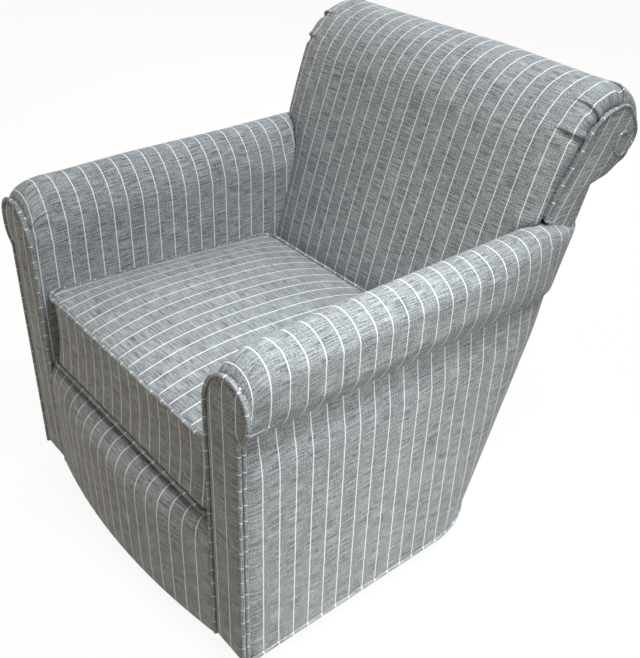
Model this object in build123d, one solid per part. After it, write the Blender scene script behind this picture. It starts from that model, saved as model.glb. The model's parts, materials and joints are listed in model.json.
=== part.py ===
# Upholstered swivel club chair with a rolled back, rolled arms and a loose seat cushion.
# Millimetres. X to the sitter's left, Y to the back, Z up; the origin is on the floor under the swivel.
import os
from math import asin, cos, radians, sin, sqrt, tan

from build123d import *

os.makedirs("parts", exist_ok=True)

# Overall sizes
OVERALL_DEPTH = 913.0
OVERALL_HEIGHT = 896.0
SEAT_WIDTH = 570.0
ARM_THICKNESS = 85.0
ROLL_OVERHANG = 22.0
BODY_BOTTOM = 45.0
FRONT_BOW = 25.0

# Outside panels and the rounded rear corners
PANEL_THICKNESS = 5.0
BODY_SETBACK = 428.5
CORNER_RADIUS = 200.0
CORNER_TURN = 37.0
CORNER_RAKE = 0.358
TIGHT_RADIUS_LOW = 90.0
TIGHT_RADIUS_HIGH = 20.0
HEADING_BOTTOM = 78.0
HEADING_TOP = 86.0
TUCK_HEIGHT = 718.0

# Arms
ROLL_TOP = 669.0
ROLL_APEX_IN = 42.0
ROLL_SPRING = 575.0
ROLL_WIDEST = 600.0
CREASE_HEIGHT = 525.0
NOSE_LENGTH = 50.0
NOSE_STEPS = 4
PANEL_TOP = 629.0
PANEL_APEX_IN = 40.0
PANEL_SPRING = 555.0
PANEL_WIDEST = 580.0
PANEL_CREASE = 530.0
ARM_PAD = 12.0
ARM_PAD_BOTTOM = 290.0
ARM_PAD_TAIL = 110.0
FRONT_PANEL_THICKNESS = 10.0
BOARD_THICKNESS = 22.0
CAVITY_TOP = 582.0

# Inside back and its scroll
BACK_HALF_WIDTH = 351.0
LEAN_TOP = 20.0
LEAN_FOOT = 13.0
BACK_BOTTOM = 300.0
BACK_WIDE_FROM = 600.0
BACK_PAD = 52.0
SCROLL_FRONT_R = 130.0
SCROLL_REAR_R = 82.0
SCROLL_DROP = 62.0
SCROLL_TUCK_R = 20.0
END_ROUND = 16.0
FACING_THICKNESS = 6.0
FACING_INSET = 26.0

# Seat
SEAT_PITCH = 3.0
SEAT_FRONT_IN = 7.5
SEAT_HEIGHT = 308.0
SEAT_BACK_GAP = 1.0
CUSHION_GAP = 2.5
BOXING = 148.0
CROWN = 30.0
CUSHION_CORNER = 34.0
DRAWN_IN = 5.0
WELT_LIFT = 4.0
CROWN_STEPS = [(1, 0.0), (6, 0.26), (30, 0.62), (110, 1.0)]
CORE_INSET = 26.0
DECK_THICKNESS = 14.0
BORDER_TOP = 301.0
BORDER_THICKNESS = 18.0
BORDER_ROUND = 15.0

# Wood frame
WOOD = 25.0
POST_WIDTH = 42.0
RAIL_THICKNESS = 30.0
FRAME_LIFT = 4.0
LOW_RAIL_TOP = 120.0
SEAT_RAIL_BOTTOM = 170.0
SEAT_RAIL_TOP = 240.0
REAR_POST_SETBACK = 11.0
REAR_RAIL_STEP = 5.0
REAR_RAIL_DROP = 20.0
BLOCK_LEG = 70.0
BLOCK_HEIGHT = 45.0
BLOCK_LIFT = 10.0
BACK_POST_INNER = 255.0
BACK_POST_TOP = 760.0
POST_LOW_GAP = 52.0
POST_HIGH_GAP = 60.0
TOP_RAIL_HEIGHT = 70.0
LOW_RAIL_HEIGHT = 50.0
LOW_RAIL_LIFT = 30.0
BOTTOM_RAIL_HEIGHT = 50.0
BOTTOM_RAIL_STEP = 6.0
BOTTOM_RAIL_LIFT = 3.0
SCROLL_BOARD_THICKNESS = 18.0
SCROLL_BOARD_DEPTH = 120.0
WEBBING_WIDTH = 50.0
WEBBING_THICKNESS = 2.0

# Swivel base
RING_RADIUS = 195.0
RING_WALL = 10.0
RING_HEIGHT = 26.0
GLIDE_HEIGHT = 4.0
GLIDE_RADIUS = 13.0
GLIDE_COUNT = 6
SPOKE_COUNT = 4
SPOKE_WIDTH = 40.0
SPOKE_LAP = 45.0
SPOKE_BEND = 6.0
SPOKE_DROP = 4.0
SPOKE_THICKNESS = 6.0
PLATE_RADIUS = 145.0
PLATE_THICKNESS = 4.0
PLATE_HEIGHT = 62.0
RACE_RADIUS = 118.0
ROLLER_RADIUS = 3.2
ROLLER_LENGTH = 14.0
ROLLER_COUNT = 8
RUN_GAP = 0.05
CAGE_THICKNESS = 3.0
CAGE_WIDTH = 26.0
PIN_RADIUS = 10.0
PIN_HEAD_RADIUS = 18.0
PIN_HEAD_HEIGHT = 6.0
END_PLAY = 0.1
CROSS_RAIL_HEIGHT = 40.0
CROSS_RAIL_WIDTH = 48.0
CROSS_RAIL_OFFSET = 68.0
BOLT_RADIUS = 4.0
BOLT_HEAD_RADIUS = 8.0
BOLT_HEAD_HEIGHT = 4.5
BOLT_SPREAD = 78.0
DUST_GAP = 1.0
DUST_THICKNESS = 2.0
DUST_HOLE = 180.0

# Zip in the rear of the cushion
ZIP_HALF = 230.0
ZIP_WIDTH = 24.0
ZIP_THICKNESS = 2.0
SLIDER_LENGTH = 11.0
SLIDER_WIDTH = 9.0
SLIDER_THICKNESS = 3.6
PULL_LENGTH = 22.0
PULL_THICKNESS = 1.6

# Places that follow from the sizes
X_IN = SEAT_WIDTH / 2
X_SIDE = X_IN + ARM_THICKNESS
X_ROLL = X_SIDE + ROLL_OVERHANG
Y_REAR = OVERALL_DEPTH / 2
Y_FRONT = -Y_REAR + FRONT_BOW
Y_ARM = Y_FRONT + FRONT_PANEL_THICKNESS
Y_BORDER_BACK = Y_FRONT + BORDER_THICKNESS
Z_FRAME = BODY_BOTTOM + FRAME_LIFT
X_POST = X_IN + ARM_PAD + 1.0
X_POST_OUT = X_POST + RAIL_THICKNESS
Y_POST = Y_ARM + 2.0
Y_POST_BACK = Y_POST + POST_WIDTH
side_flat = Y_REAR - BODY_SETBACK - Y_FRONT
lower_top = PLATE_HEIGHT + PLATE_THICKNESS
upper_low = lower_top + 2 * (ROLLER_RADIUS + RUN_GAP)
upper_top = upper_low + PLATE_THICKNESS
rail_top = upper_top + CROSS_RAIL_HEIGHT
PITCH = tan(radians(SEAT_PITCH))
Y_SEAT = Y_FRONT + SEAT_FRONT_IN

# Profile of the inside back: a bellied front that runs into the scroll
scroll_y = Y_REAR - SCROLL_REAR_R
front_c = (scroll_y, OVERALL_HEIGHT - SCROLL_FRONT_R)
rear_c = (scroll_y, OVERALL_HEIGHT - SCROLL_REAR_R)
lean_top = radians(LEAN_TOP)
lean_foot = radians(LEAN_FOOT)
touch_z = front_c[1] + SCROLL_FRONT_R * sin(lean_top)
belly_r = (touch_z - BACK_BOTTOM) / (sin(lean_top) - sin(lean_foot))
belly_c = (front_c[0] + (belly_r - SCROLL_FRONT_R) * cos(lean_top),
           front_c[1] - (belly_r - SCROLL_FRONT_R) * sin(lean_top))
foot_y = belly_c[0] - belly_r * cos(lean_foot)
rear_post_y = foot_y - REAR_POST_SETBACK
rear_post_back = rear_post_y + POST_WIDTH
arm_pad_rear = rear_post_y + ARM_PAD_TAIL
cushion_depth = (foot_y - SEAT_BACK_GAP - Y_SEAT) / cos(radians(SEAT_PITCH))


def box(x0, x1, y0, y1, z0, z1):
    """A block between two corners."""
    return Pos((x0 + x1) / 2, (y0 + y1) / 2, (z0 + z1) / 2) * Box(x1 - x0, y1 - y0, z1 - z0)


def disc(radius, z0, z1, x=0.0, y=0.0):
    """An upright round block."""
    return Pos(x, y, (z0 + z1) / 2) * Cylinder(radius, z1 - z0)


def polygon(radius, sides, z0, z1, x=0.0, y=0.0):
    """An upright block with equal sides, such as a bolt head or a nut."""
    return extrude(Pos(x, y, z0) * RegularPolygon(radius, sides), z1 - z0, dir=(0, 0, 1))


def other_side(shape):
    """The same piece on the sitter's right."""
    return mirror(shape, about=Plane.YZ)


def save(shape, name):
    """One node, written as its own file."""
    export_step(shape, os.path.join("parts", name + ".step"))


def seat_z(y, drop=0.0):
    """Height of the pitched seat plane, or of a plane below it."""
    return SEAT_HEIGHT - drop - (y - Y_SEAT) * PITCH


def endwise(edges, x):
    """A face drawn in Y and Z, set at one width."""
    return Pos(x, 0, 0) * Rot(0, 90, 0) * Rot(0, 0, 90) * make_face(edges)


# The outside of the body in plan: straight sides, rounded rear corners, a slightly bowed back.
def body_plan(side, turn_y, tight, heading, inset, z, facets=False):
    a = radians(CORNER_TURN)
    h = radians(heading)
    wide = CORNER_RADIUS - inset
    small = tight - inset
    x0 = side - inset

    def first(t):
        return (x0 - wide * (1 - cos(t)), turn_y + wide * sin(t))

    p1 = first(a)

    def second(t):
        return (p1[0] + small * (cos(t) - cos(a)), p1[1] + small * (sin(t) - sin(a)))

    p2 = second(h)
    back = p2[1] + p2[0] / cos(h) * (1 - sin(h))
    m1 = first(a / 2)
    m2 = second((a + h) / 2)

    def left(p):
        return (-p[0], p[1])

    start = (x0, turn_y)
    if facets:
        mid = (p2[0] / 2, back - (back - p2[1]) / 4)
        half = [start, m1, p1, m2, p2, mid]
        edges = Polyline(*half, (0, back), *[left(p) for p in reversed(half)], close=True).edges()
    else:
        edges = [
            ThreePointArc(start, m1, p1),
            ThreePointArc(p1, m2, p2),
            ThreePointArc(p2, (0, back), left(p2)),
            ThreePointArc(left(p2), left(m2), left(p1)),
            ThreePointArc(left(p1), left(m1), left(start)),
            Line(left(start), start),
        ]
    return Pos(0, 0, z) * make_face(edges), back


def body_loft(side, inset, front, facets=False):
    """The raked body between its bottom edge and the tuck under the scroll."""
    turn = Y_FRONT + side_flat
    turn_top = turn + CORNER_RAKE * (TUCK_HEIGHT - BODY_BOTTOM)
    low, low_back = body_plan(side, turn, TIGHT_RADIUS_LOW, HEADING_BOTTOM, inset, BODY_BOTTOM, facets)
    top, top_back = body_plan(side, turn_top, TIGHT_RADIUS_HIGH, HEADING_TOP, inset, TUCK_HEIGHT, facets)
    x0 = side - inset
    flank = Polyline((front, BODY_BOTTOM), (turn, BODY_BOTTOM), (turn_top, TUCK_HEIGHT), (front, TUCK_HEIGHT),
                     close=True)
    flat = extrude(endwise(flank.edges(), -x0), 2 * x0, dir=(1, 0, 0))
    return flat + loft([low, top], ruled=True), low_back, top_back


outer_body, BACK_LOW, BACK_HIGH = body_loft(X_SIDE, 0.0, Y_FRONT)
inner_body = body_loft(X_SIDE, PANEL_THICKNESS, Y_FRONT - 5.0, True)[0]
roll_body = body_loft(X_ROLL, 0.0, Y_FRONT)[0]
body_shell = outer_body - inner_body


def outside_y(z):
    """Centre line of the outside back."""
    return BACK_LOW + (BACK_HIGH - BACK_LOW) * (z - BODY_BOTTOM) / (TUCK_HEIGHT - BODY_BOTTOM)


# Section of an arm across the chair, from the front panel (share 0) to the full roll (share 1).
def arm_edges(share, bottom):
    def between(low, high):
        return low + (high - low) * share

    top = between(PANEL_TOP, ROLL_TOP)
    spring = between(PANEL_SPRING, ROLL_SPRING)
    apex_in = between(PANEL_APEX_IN, ROLL_APEX_IN)
    widest = between(PANEL_WIDEST, ROLL_WIDEST)
    crease = between(PANEL_CREASE, CREASE_HEIGHT)
    apex = X_ROLL - apex_in
    c = cos(radians(45))
    wide = apex - X_IN
    tall = top - spring
    r1 = (tall * c - wide * (1 - c)) / (c * c - (1 - c) * (1 - c))
    r2 = (wide - r1 * (1 - c)) / c
    turn = (X_IN + r1 * (1 - c), spring + r1 * c)
    q = radians(22.5)
    mid1 = (X_IN + r1 * (1 - cos(q)), spring + r1 * sin(q))
    q2 = radians(67.5)
    mid2 = (turn[0] + r2 * (c - cos(q2)), turn[1] + r2 * (sin(q2) - c))
    shoulder = top - apex_in
    mid3 = (apex + apex_in * c, shoulder + apex_in * c)
    fall = widest - crease
    r4 = (ROLL_OVERHANG ** 2 + fall ** 2) / (2 * ROLL_OVERHANG)
    drop = fall / 2
    mid4 = (X_ROLL - r4 + sqrt(r4 ** 2 - drop ** 2), widest - drop)
    edges = [
        Line((X_IN, bottom), (X_IN, spring)),
        ThreePointArc((X_IN, spring), mid1, turn),
        ThreePointArc(turn, mid2, (apex, top)),
        ThreePointArc((apex, top), mid3, (X_ROLL, shoulder)),
        Line((X_ROLL, shoulder), (X_ROLL, widest)),
        ThreePointArc((X_ROLL, widest), mid4, (X_SIDE, crease)),
    ]
    if bottom < crease - 1:
        edges.append(Line((X_SIDE, crease), (X_SIDE, bottom)))
    edges.append(Line((X_SIDE, bottom), (X_IN, bottom)))
    return edges


def across(face, y):
    """A face drawn in X and Z, set at one depth."""
    return Pos(0, y, 0) * Rot(90, 0, 0) * face


def arm_face(share, bottom, y):
    return across(make_face(arm_edges(share, bottom)), y)


# Arm padding: rounded nose, roll, and the inside wall down to the deck.
def arm_outside():
    full_y = Y_ARM + NOSE_LENGTH
    floor = CREASE_HEIGHT - 20.0
    turns = [radians(90 * i / NOSE_STEPS) for i in range(NOSE_STEPS + 1)]
    nose = loft([arm_face(sin(t), floor, Y_ARM + NOSE_LENGTH * (1 - cos(t))) for t in turns], ruled=True)
    length = Y_REAR - full_y
    main = extrude(arm_face(1.0, floor, full_y), length, dir=(0, 1, 0))
    wall = box(X_IN, X_IN + ARM_PAD, Y_ARM, arm_pad_rear, ARM_PAD_BOTTOM, CAVITY_TOP)
    above = box(X_IN, X_ROLL + 10, Y_FRONT - 5, Y_REAR + 5, CREASE_HEIGHT, ROLL_TOP + 20)
    return ((nose + main) & above & roll_body) + wall


left_arm = arm_outside()
hollow = outer_body & box(X_IN + ARM_PAD, X_ROLL, Y_FRONT - 1, Y_REAR, BODY_BOTTOM, CAVITY_TOP)
behind = outer_body & box(X_IN - 1, X_ROLL, arm_pad_rear, Y_REAR, BODY_BOTTOM, CAVITY_TOP)
left_arm = left_arm - hollow - behind
right_arm = other_side(left_arm)
save(left_arm, "left_arm_pad")
save(right_arm, "right_arm_pad")

# Arm front panels
front_panel = extrude(arm_face(0.0, BODY_BOTTOM, Y_FRONT), FRONT_PANEL_THICKNESS, dir=(0, 1, 0))
save(front_panel, "left_arm_front")
save(other_side(front_panel), "right_arm_front")

# Outside arms and outside back, cut from one shell
side_zone = box(X_IN, X_ROLL, Y_ARM, Y_REAR, BODY_BOTTOM, CAVITY_TOP)
left_outside = body_shell & side_zone
save(left_outside, "left_outside_arm")
save(other_side(left_outside), "right_outside_arm")
back_zone = box(-X_IN, X_IN, 0, Y_REAR, BODY_BOTTOM, TUCK_HEIGHT)
outside_back = body_shell & back_zone
save(outside_back, "outside_back")


# Inside back: raked and slightly bellied front, big scroll over the top, tucked under at the rear.
def back_edges(inset, bottom):
    front_r = SCROLL_FRONT_R - inset
    rear_r = SCROLL_REAR_R - inset

    def belly(lean):
        return (belly_c[0] - (belly_r - inset) * cos(lean), belly_c[1] + (belly_r - inset) * sin(lean))

    low_lean = asin((bottom - belly_c[1]) / (belly_r - inset))
    foot = belly(low_lean)
    touch = belly(lean_top)
    middle = (lean_top + radians(90)) / 2
    mid_front = (front_c[0] - front_r * cos(middle), front_c[1] + front_r * sin(middle))
    top = (scroll_y, OVERALL_HEIGHT - inset)
    c = cos(radians(45))
    mid_rear = (rear_c[0] + rear_r * c, rear_c[1] + rear_r * c)
    rear_y = Y_REAR - inset
    drop_z = rear_c[1] - SCROLL_DROP + inset
    tuck_c = (rear_y - SCROLL_TUCK_R, drop_z)
    mid_tuck = (tuck_c[0] + SCROLL_TUCK_R * c, tuck_c[1] - SCROLL_TUCK_R * c)
    turned = (tuck_c[0], drop_z - SCROLL_TUCK_R)
    under = (outside_y(TUCK_HEIGHT) - inset, TUCK_HEIGHT + inset * 0.4)
    rear_foot = (outside_y(bottom) - inset, bottom)
    edges = [
        ThreePointArc(foot, belly((low_lean + lean_top) / 2), touch),
        ThreePointArc(touch, mid_front, top),
        ThreePointArc(top, mid_rear, (rear_y, rear_c[1])),
        Line((rear_y, rear_c[1]), (rear_y, drop_z)),
        ThreePointArc((rear_y, drop_z), mid_tuck, turned),
        Line(turned, under),
        Line(under, rear_foot),
        Line(rear_foot, foot),
    ]
    return edges, foot, touch


outline, FOOT, TOUCH = back_edges(0.0, BACK_BOTTOM)
BACK_SLOPE = (TOUCH[0] - FOOT[0]) / (TOUCH[1] - FOOT[1])
flat_half = BACK_HALF_WIDTH - END_ROUND
back_full = extrude(endwise(outline, -flat_half), 2 * flat_half, dir=(1, 0, 0))
end_faces = []
for turn in (0.0, 35.0, 65.0, 90.0):
    inset = END_ROUND * (1 - cos(radians(turn)))
    end_faces.append(endwise(back_edges(inset, BACK_BOTTOM)[0], flat_half + END_ROUND * sin(radians(turn))))
rounded_end = loft(end_faces, ruled=True)
back_full = back_full + rounded_end + other_side(rounded_end)

# Below the scroll the back keeps inside the rounded corners of the body
far = X_ROLL + 50
low_zone = box(-far, far, -far, Y_REAR + 5, BACK_BOTTOM - 5, TUCK_HEIGHT)
high_zone = box(-far, far, -far, Y_REAR + 5, TUCK_HEIGHT, OVERALL_HEIGHT + 5)


def within_corners(shape):
    return (shape & low_zone & outer_body) + (shape & high_zone)


back_full = within_corners(back_full)
side_cut = box(X_IN - 0.3, X_ROLL, 0, Y_REAR + 5, BACK_BOTTOM - 5, BACK_WIDE_FROM)
lean = BACK_PAD * sqrt(1 + BACK_SLOPE ** 2)
cavity_top = TUCK_HEIGHT + 4.0


def pad_rear(z):
    """Rear face of the inside-back padding."""
    return FOOT[0] + BACK_SLOPE * (z - BACK_BOTTOM) + lean


cavity = endwise([
    Line((pad_rear(BACK_BOTTOM - 10), BACK_BOTTOM - 10), (pad_rear(cavity_top), cavity_top)),
    Line((pad_rear(cavity_top), cavity_top), (BACK_HIGH, cavity_top)),
    Line((BACK_HIGH, cavity_top), (Y_REAR + 20, TUCK_HEIGHT)),
    Line((Y_REAR + 20, TUCK_HEIGHT), (Y_REAR + 20, BACK_BOTTOM - 10)),
    Line((Y_REAR + 20, BACK_BOTTOM - 10), (pad_rear(BACK_BOTTOM - 10), BACK_BOTTOM - 10)),
], -X_IN)
cavity = extrude(cavity, 2 * X_IN, dir=(1, 0, 0))

# Back frame: raked posts, rails between them and the board that carries the scroll
post_rear_low = BACK_LOW - POST_LOW_GAP
post_rear_high = outside_y(BACK_POST_TOP) - POST_HIGH_GAP
post_y = rear_post_y + REAR_RAIL_STEP + WOOD
post_bend = BACK_BOTTOM + (post_y - pad_rear(BACK_BOTTOM)) / BACK_SLOPE
post_edges = Polyline(
    (post_y, Z_FRAME), (post_y, post_bend), (pad_rear(BACK_POST_TOP), BACK_POST_TOP),
    (post_rear_high, BACK_POST_TOP), (post_rear_low, Z_FRAME), close=True)
back_post = extrude(endwise(post_edges.edges(), BACK_POST_INNER), WOOD, dir=(1, 0, 0))
save(back_post, "left_back_post")
save(other_side(back_post), "right_back_post")

board_y = pad_rear(BACK_POST_TOP)
scroll_board = box(-BACK_POST_INNER - WOOD, BACK_POST_INNER + WOOD, board_y, board_y + SCROLL_BOARD_DEPTH,
                   BACK_POST_TOP, BACK_POST_TOP + SCROLL_BOARD_THICKNESS)
save(scroll_board, "scroll_board")

top_rail_z = BACK_POST_TOP - TOP_RAIL_HEIGHT
top_rail_y = pad_rear(BACK_POST_TOP) + WEBBING_THICKNESS
top_rail = box(-BACK_POST_INNER, BACK_POST_INNER, top_rail_y, top_rail_y + WOOD, top_rail_z, BACK_POST_TOP)
save(top_rail, "back_top_rail")
low_rail_z = BACK_BOTTOM + LOW_RAIL_LIFT
low_rail_y = pad_rear(low_rail_z + LOW_RAIL_HEIGHT) + WEBBING_THICKNESS
low_rail = box(-BACK_POST_INNER, BACK_POST_INNER, low_rail_y, low_rail_y + WOOD, low_rail_z,
               low_rail_z + LOW_RAIL_HEIGHT)
save(low_rail, "back_low_rail")
bottom_rail_y = post_y + BOTTOM_RAIL_STEP
bottom_rail_z = rail_top + BOTTOM_RAIL_LIFT
bottom_rail = box(-BACK_POST_INNER, BACK_POST_INNER, bottom_rail_y, bottom_rail_y + WOOD - REAR_RAIL_STEP,
                  bottom_rail_z, bottom_rail_z + BOTTOM_RAIL_HEIGHT)
save(bottom_rail, "rear_bottom_rail")

back_pad = back_full - side_cut - other_side(side_cut) - left_arm - right_arm - cavity
back_pad = back_pad - scroll_board - top_rail - back_post - other_side(back_post)
save(back_pad, "inside_back")

# End facings of the scroll
facing_outline = back_edges(FACING_INSET, BACK_WIDE_FROM)[0]
facing = extrude(endwise(facing_outline, BACK_HALF_WIDTH), FACING_THICKNESS, dir=(1, 0, 0))
facing = within_corners(facing) - left_arm
facing = facing.solids().sort_by(SortBy.VOLUME)[-1]
save(facing, "left_back_facing")
save(other_side(facing), "right_back_facing")

# Back webbing, stretched from the low rail to the top rail
back_strips = []
for i in range(4):
    x = (i - 1.5) * 2 * BACK_POST_INNER / 4.4
    low_z = low_rail_z + 20.0
    high_z = BACK_POST_TOP - 10.0
    strip = endwise([
        Line((pad_rear(low_z), low_z), (pad_rear(high_z), high_z)),
        Line((pad_rear(high_z), high_z), (pad_rear(high_z) + WEBBING_THICKNESS, high_z)),
        Line((pad_rear(high_z) + WEBBING_THICKNESS, high_z), (pad_rear(low_z) + WEBBING_THICKNESS, low_z)),
        Line((pad_rear(low_z) + WEBBING_THICKNESS, low_z), (pad_rear(low_z), low_z)),
    ], x - WEBBING_WIDTH / 2)
    strip = extrude(strip, WEBBING_WIDTH, dir=(1, 0, 0)) - low_rail - top_rail
    back_strips.append(strip - back_pad)
save(Compound(children=[s.solids().sort_by(SortBy.VOLUME)[-1] for s in back_strips]), "back_webbing")

# Arm and seat frame
front_post = box(X_POST, X_POST + POST_WIDTH, Y_POST, Y_POST_BACK, Z_FRAME, CAVITY_TOP - BOARD_THICKNESS)
save(front_post, "left_front_post")
save(other_side(front_post), "right_front_post")
rear_post = box(X_POST, X_POST_OUT, rear_post_y, rear_post_back, LOW_RAIL_TOP, CAVITY_TOP - BOARD_THICKNESS)
save(rear_post, "left_rear_post")
save(other_side(rear_post), "right_rear_post")
arm_board = box(X_POST, X_SIDE - PANEL_THICKNESS - 1.0, Y_POST, arm_pad_rear - 5.0,
                CAVITY_TOP - BOARD_THICKNESS, CAVITY_TOP)
save(arm_board, "left_arm_board")
save(other_side(arm_board), "right_arm_board")
low_side = box(X_POST, X_POST_OUT, Y_POST_BACK, rear_post_back, Z_FRAME, LOW_RAIL_TOP)
save(low_side, "left_bottom_rail")
save(other_side(low_side), "right_bottom_rail")
seat_side = box(X_POST, X_POST_OUT, Y_POST_BACK, rear_post_y, SEAT_RAIL_BOTTOM, SEAT_RAIL_TOP)
save(seat_side, "left_seat_rail")
save(other_side(seat_side), "right_seat_rail")

web_drop = DECK_THICKNESS + 0.5
rail_drop = web_drop + 2 * WEBBING_THICKNESS
front_rail_top = seat_z(Y_BORDER_BACK + WOOD, rail_drop)
front_rail = box(-X_POST, X_POST, Y_BORDER_BACK, Y_BORDER_BACK + WOOD, SEAT_RAIL_BOTTOM, front_rail_top)
save(front_rail, "front_seat_rail")
rear_rail_y = rear_post_y + REAR_RAIL_STEP
rear_rail_top = seat_z(rear_rail_y + WOOD, rail_drop)
rear_rail = box(-X_POST, X_POST, rear_rail_y, rear_rail_y + WOOD, SEAT_RAIL_BOTTOM - REAR_RAIL_DROP,
                rear_rail_top)
save(rear_rail, "rear_seat_rail")


def corner_block(x_sign, y, y_sign):
    corner = (x_sign * X_POST, y)
    arm_x = (x_sign * (X_POST - BLOCK_LEG), y)
    arm_y = (x_sign * X_POST, y + y_sign * BLOCK_LEG)
    face = make_face(Polyline(corner, arm_x, arm_y, close=True).edges())
    return extrude(Pos(0, 0, SEAT_RAIL_BOTTOM + BLOCK_LIFT) * face, BLOCK_HEIGHT, dir=(0, 0, 1))


blocks = [corner_block(s, Y_BORDER_BACK + WOOD, 1) for s in (1, -1)]
blocks += [corner_block(s, rear_rail_y, -1) for s in (1, -1)]
save(Compound(children=blocks), "corner_blocks")

# Front border below the cushion, bowed forward, rounded over its top
half = X_IN - 0.3
border_face = make_face([
    ThreePointArc((-half, Y_FRONT), (0, Y_FRONT - FRONT_BOW), (half, Y_FRONT)),
    Line((half, Y_FRONT), (half, Y_BORDER_BACK)),
    Line((half, Y_BORDER_BACK), (-half, Y_BORDER_BACK)),
    Line((-half, Y_BORDER_BACK), (-half, Y_FRONT)),
])
border = extrude(Pos(0, 0, BODY_BOTTOM) * border_face, BORDER_TOP - BODY_BOTTOM, dir=(0, 0, 1))


def front_edge(edge, z):
    c = edge.center()
    return abs(c.Z - z) < 0.01 and c.Y < Y_FRONT - 1


border = fillet([e for e in border.edges() if front_edge(e, BORDER_TOP)], BORDER_ROUND)
save(border, "front_border")

# The seat: pitched a little to the rear
seat_frame = Pos(0, Y_SEAT, SEAT_HEIGHT) * Rot(-SEAT_PITCH, 0, 0)
deck_start = Y_BORDER_BACK - Y_SEAT + 1.0
deck_end = cushion_depth - 8.0
deck = seat_frame * box(-X_IN + 1, X_IN - 1, deck_start, deck_end, -0.5 - DECK_THICKNESS, -0.5)
save(deck - back_pad, "seat_deck")
strips = []
for i in range(5):
    x = (i - 2) * X_IN / 2.7
    strips.append(seat_frame * box(x - WEBBING_WIDTH / 2, x + WEBBING_WIDTH / 2, deck_start + 2, deck_end,
                                   -web_drop - WEBBING_THICKNESS, -web_drop))
save(Compound(children=strips), "seat_webbing_long")
strips = []
for i in range(4):
    y = deck_start + (i + 0.8) * (deck_end - deck_start) / 4.6
    strips.append(seat_frame * box(-X_IN + 2, X_IN - 2, y - WEBBING_WIDTH / 2, y + WEBBING_WIDTH / 2,
                                   -web_drop - 2 * WEBBING_THICKNESS, -web_drop - WEBBING_THICKNESS))
save(Compound(children=strips), "seat_webbing_cross")


# Loose cushion: drawn-in sides, crowned top, a foam core inside the cover
def cushion_face(inset, z):
    w = X_IN - CUSHION_GAP - inset
    y0 = inset
    y1 = cushion_depth - inset
    r = CUSHION_CORNER
    k = r * (1 - cos(radians(45)))
    mid = (y0 + y1) / 2
    d = DRAWN_IN
    edges = [
        ThreePointArc((-w + r, y0), (0, y0 + d), (w - r, y0)),
        ThreePointArc((w - r, y0), (w - k, y0 + k), (w, y0 + r)),
        ThreePointArc((w, y0 + r), (w - d, mid), (w, y1 - r)),
        ThreePointArc((w, y1 - r), (w - k, y1 - k), (w - r, y1)),
        Line((w - r, y1), (-w + r, y1)),
        ThreePointArc((-w + r, y1), (-w + k, y1 - k), (-w, y1 - r)),
        ThreePointArc((-w, y1 - r), (-w + d, mid), (-w, y0 + r)),
        ThreePointArc((-w, y0 + r), (-w + k, y0 + k), (-w + r, y0)),
    ]
    return Pos(0, 0, z) * make_face(edges)


welt_top = WELT_LIFT + BOXING
lower = loft([cushion_face(9, 0), cushion_face(1, WELT_LIFT)], ruled=True)
sides = loft([cushion_face(1, WELT_LIFT), cushion_face(4, WELT_LIFT + BOXING / 2), cushion_face(1, welt_top)],
             ruled=True)
crown = loft([cushion_face(inset, welt_top + CROWN * share) for inset, share in CROWN_STEPS], ruled=True)
cushion = lower + sides + crown
core = box(-X_IN + CUSHION_GAP + CORE_INSET, X_IN - CUSHION_GAP - CORE_INSET, CORE_INSET,
           cushion_depth - CORE_INSET, 8.0, welt_top - 4.0)
zip_z = WELT_LIFT + BOXING / 2
zip_face = cushion_depth - 4.0 + 0.8
tape = box(-ZIP_HALF, ZIP_HALF, zip_face - ZIP_THICKNESS, zip_face, zip_z - ZIP_WIDTH / 2, zip_z + ZIP_WIDTH / 2)
save(seat_frame * (cushion - core - tape), "seat_cushion_cover")
save(seat_frame * core, "seat_cushion_core")
save(seat_frame * tape, "zip_tape")

# Zip slider, parked at its closed end
run = zip_face + RUN_GAP
park = -ZIP_HALF + 16.0
slider = box(park - SLIDER_LENGTH / 2, park + SLIDER_LENGTH / 2, run, run + SLIDER_THICKNESS,
             zip_z - SLIDER_WIDTH / 2, zip_z + SLIDER_WIDTH / 2)
pull = box(park - 2.5, park + 2.5, run + SLIDER_THICKNESS, run + SLIDER_THICKNESS + PULL_THICKNESS,
           zip_z - PULL_LENGTH, zip_z + 2.0)
save(seat_frame * (slider + pull), "zip_slider")

# Dust cover under the frame, open round the base
dust_inset = PANEL_THICKNESS + DUST_GAP
dust_plan = body_plan(X_SIDE, Y_FRONT + side_flat, TIGHT_RADIUS_LOW, HEADING_BOTTOM, dust_inset,
                      Z_FRAME - DUST_THICKNESS, True)[0]
dust = extrude(dust_plan, DUST_THICKNESS, dir=(0, 0, 1))
dust = dust + box(-X_SIDE + dust_inset, X_SIDE - dust_inset, Y_BORDER_BACK + DUST_GAP, Y_FRONT + side_flat,
                  Z_FRAME - DUST_THICKNESS, Z_FRAME)
dust = dust - polygon(DUST_HOLE, 16, 0, 2 * Z_FRAME)
save(dust, "dust_cover")

# Swivel base on the floor
ring_top = GLIDE_HEIGHT + RING_HEIGHT
ring = disc(RING_RADIUS, GLIDE_HEIGHT, ring_top) - disc(RING_RADIUS - RING_WALL, 0, ring_top + 5)
save(ring, "base_ring")
glides = []
for place in PolarLocations(RING_RADIUS - RING_WALL / 2, GLIDE_COUNT, start_angle=30):
    glides.append(place * polygon(GLIDE_RADIUS, 12, 0, GLIDE_HEIGHT))
save(Compound(children=glides), "floor_glides")

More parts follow.
